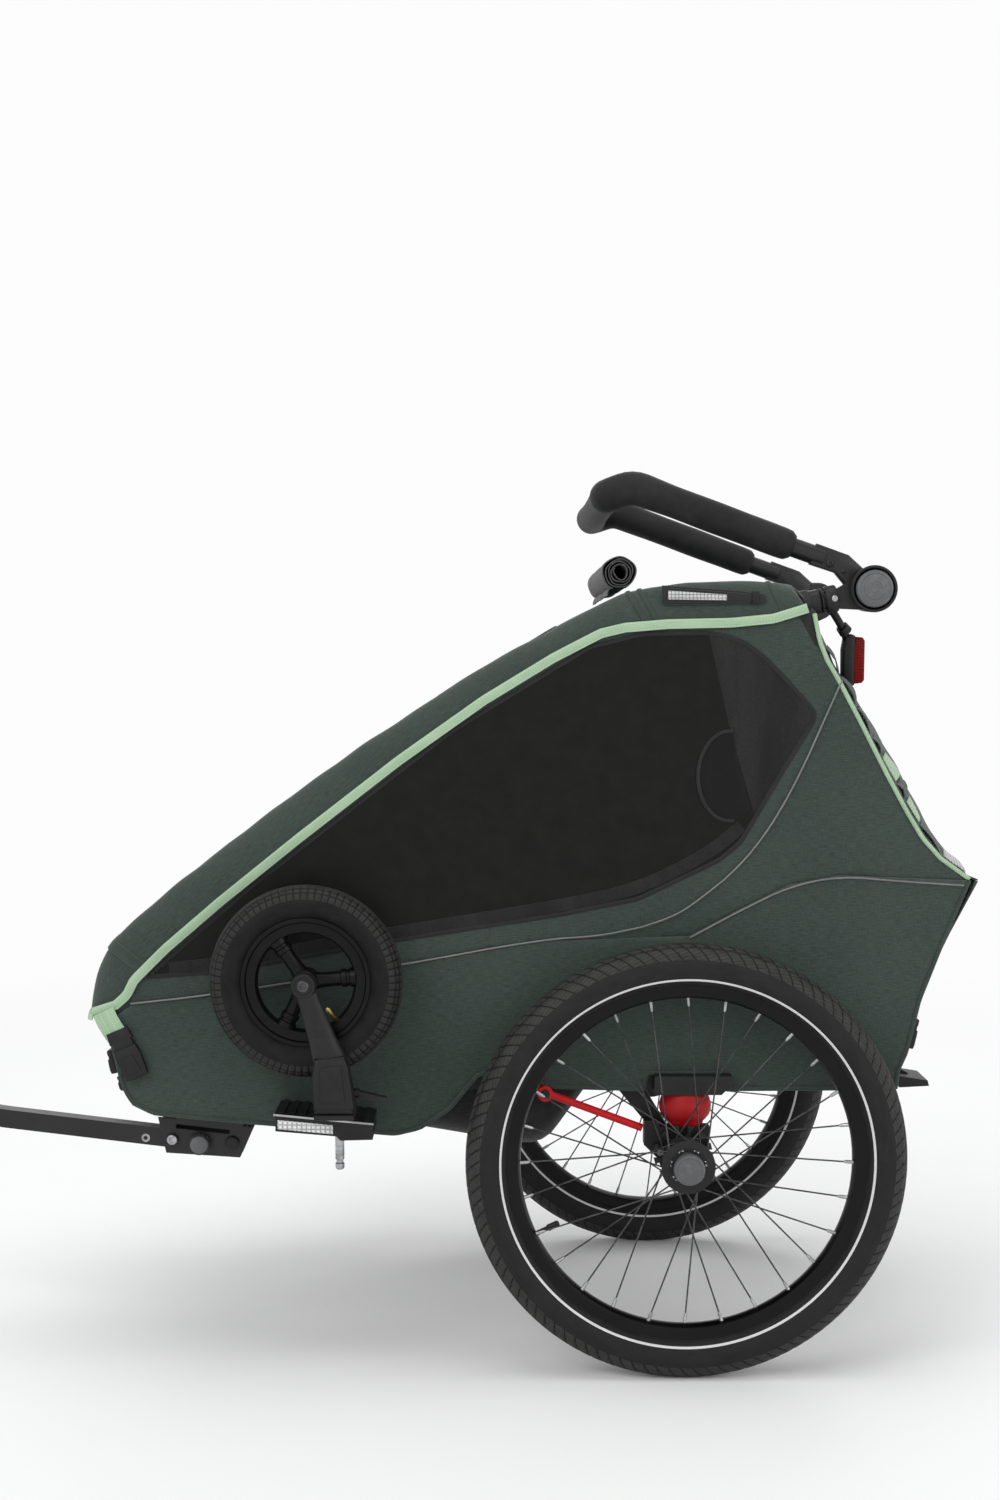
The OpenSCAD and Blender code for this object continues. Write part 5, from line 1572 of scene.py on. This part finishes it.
# shoulder straps with sleeves, crotch strap and the central buckle
for side, word in SIDES:
    t = np.linspace(0, 1, 24)
    p = leaned(np.stack([np.full(24, -41.0), side * (58 + 6 * np.sin(t * 3)), 40 + 212 * t], 1))
    p[:, 0] -= 5 * np.sin(np.pi * t)
    ob = strip(p, 24, 1.6, (-math.cos(LEAN), 0, math.sin(LEAN)), f"shoulder_strap_{word}", BLACK_WEB, "backrest")
    if side < 0:
        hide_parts("shoulder_straps")
    sleeve = sweep(p[7:18] + np.array([-2.2, 0, 0]), rrect(-17, 17, -3.5, 3.5, 3.2, 3), up=(-1, 0, 0.1),
                   scale=[0.8, 0.94, 1, 1, 1.02, 1.02, 1.02, 1, 1, 0.94, 0.8])
    place_piece(sleeve, f"strap_sleeve_{word}", SEAT, "backrest", smooth=60)
disc = [(-7, 4), (-7, 19.5), (-5.5, 21.8), (4.0, 21.8), (6.4, 20.0), (6.4, 15.2), (5.4, 14.6), (5.4, 12.8),
        (7.2, 12.0),
        (7.6, 5), (7.6, 0.01)]
place_piece(lathe(disc, (-38, 0, 394.5), (0, 0, 1), n=56), "harness_disc", PLASTIC, "chassis", smooth=35,
            replaces="harness_buckle")
strip([(-64, 0, 379), (-60, 0, 388), (-52, 0, 391)], 22, 2.0, (-0.3, 0, 1), "crotch_strap", BLACK_WEB, "chassis")

# dark rounded pocket seen behind the window film, in front of the net
arc = np.array([(52 + 37 * math.cos(a), 694 + 52 * math.sin(a)) for a in np.linspace(1.52, 4.86, 26)])
pocket_v, pocket_f = mesh_plane(np.vstack([arc, [(75, 655), (62, 704)]]), step=6.0)
for side, word in SIDES:
    P, F, loops = side_part(pocket_v, pocket_f, lambda q: upper_y(q) + 0.9, side)
    ob = piece(f"window_pocket_{word}", P, F, POCKET_CLOTH, loops, smooth=0)
    blend_top(ob)
    cloth_finish(ob, 0.8)
    declare_sheet(ob)
    strip(on_side(arc, upper_y(arc) + 1.2, side), 4.0, 1.0, (0, side, 0), f"pocket_edge_{word}", BLACK_WEB, None)

# ---- finish of the CAD nodes that stay
for material, names in (
        (FRAME_PAINT, ("side_rails", "cross_tubes", "stem_socket", "back_posts", "roof_frame", "backrest_frame",
                       "tow_bracket", "tow_arm")),
        (PLASTIC, ("suspension_beam", "hub_carrier_left", "hub_carrier_right", "handle_mounts", "lock_knob",
                   "brake_pedal", "fork_lever", "hitch_head", "tub_floor")),
        (RED_PAINT, ("suspension_rod_left", "suspension_rod_right")),
        (STEEL, ("hitch_pin", "brake_pin_left", "brake_pin_right"))):
    for name in names:
        NODES[name].data.materials.clear()
        NODES[name].data.materials.append(material)


# ---- floor, backdrop and light
def studio():
    m = Mat("studio_floor", "Object")
    speck = m.noise(240.0, 2.0)
    tone = (m.noise(0.8).ramp(0.3, 0.7, 0.0, 0.6) + speck.ramp(0.3, 0.7, 0.0, 0.3)).clamp()
    col = m.mix(tone, (0.86, 0.865, 0.87), (0.90, 0.90, 0.90))
    matt = m.surface(col, 0.75, m.bump(speck, 0.0002, 0.3), spec=0.2)
    # past the shadow of the trailer the floor turns into the white of the backdrop
    away = m.node("VectorMath", {0: m.p}, out="Value", operation="LENGTH")
    away = away.ramp(0.9, 3.4, interpolation_type="SMOOTHSTEP")
    white = m.node("Emission", {"Color": (1.0, 1.0, 1.0), "Strength": 0.98})
    m.done(m.node("MixShader", {0: away, 1: matt, 2: white}))
    me = bpy.data.meshes.new("floor")
    me.from_pydata([(-60, -60, 0), (60, -60, 0), (60, 60, 0), (-60, 60, 0)], [], [(0, 1, 2, 3)])
    me.materials.append(m.m)
    ob = bpy.data.objects.new("floor", me)
    bpy.context.scene.collection.objects.link(ob)
    # the backdrop is white round the horizon and darker overhead
    world = bpy.data.worlds.new("world")
    world.use_nodes = True
    t = world.node_tree
    way = t.nodes.new("ShaderNodeTexCoord")
    part = t.nodes.new("ShaderNodeSeparateXYZ")
    fall = t.nodes.new("ShaderNodeMapRange")
    t.links.new(way.outputs["Generated"], part.inputs[0])
    t.links.new(part.outputs[2], fall.inputs["Value"])
    for k, value in (("From Min", 0.42), ("From Max", 0.85), ("To Min", 0.98), ("To Max", 0.34)):
        fall.inputs[k].default_value = value
    t.links.new(fall.outputs[0], t.nodes["Background"].inputs[1])
    t.nodes["Background"].inputs[0].default_value = (1.0, 1.0, 1.0, 1)
    bpy.context.scene.world = world
    bpy.context.scene.view_settings.view_transform = "Standard"
    area_light("key", (-2.2, -3.4, 3.4), (0, 0, 0.5), (2.6, 1.8), 60)
    area_light("top", (0.2, -0.4, 3.6), (0, 0, 0.4), (3.2, 2.4), 50)
    area_light("fill", (3.0, -2.6, 1.6), (0.1, 0, 0.5), (2.2, 2.2), 26)
    area_light("rim", (0.6, 2.6, 2.6), (0, 0, 0.6), (3.4, 1.4), 30)


studio()
camera()
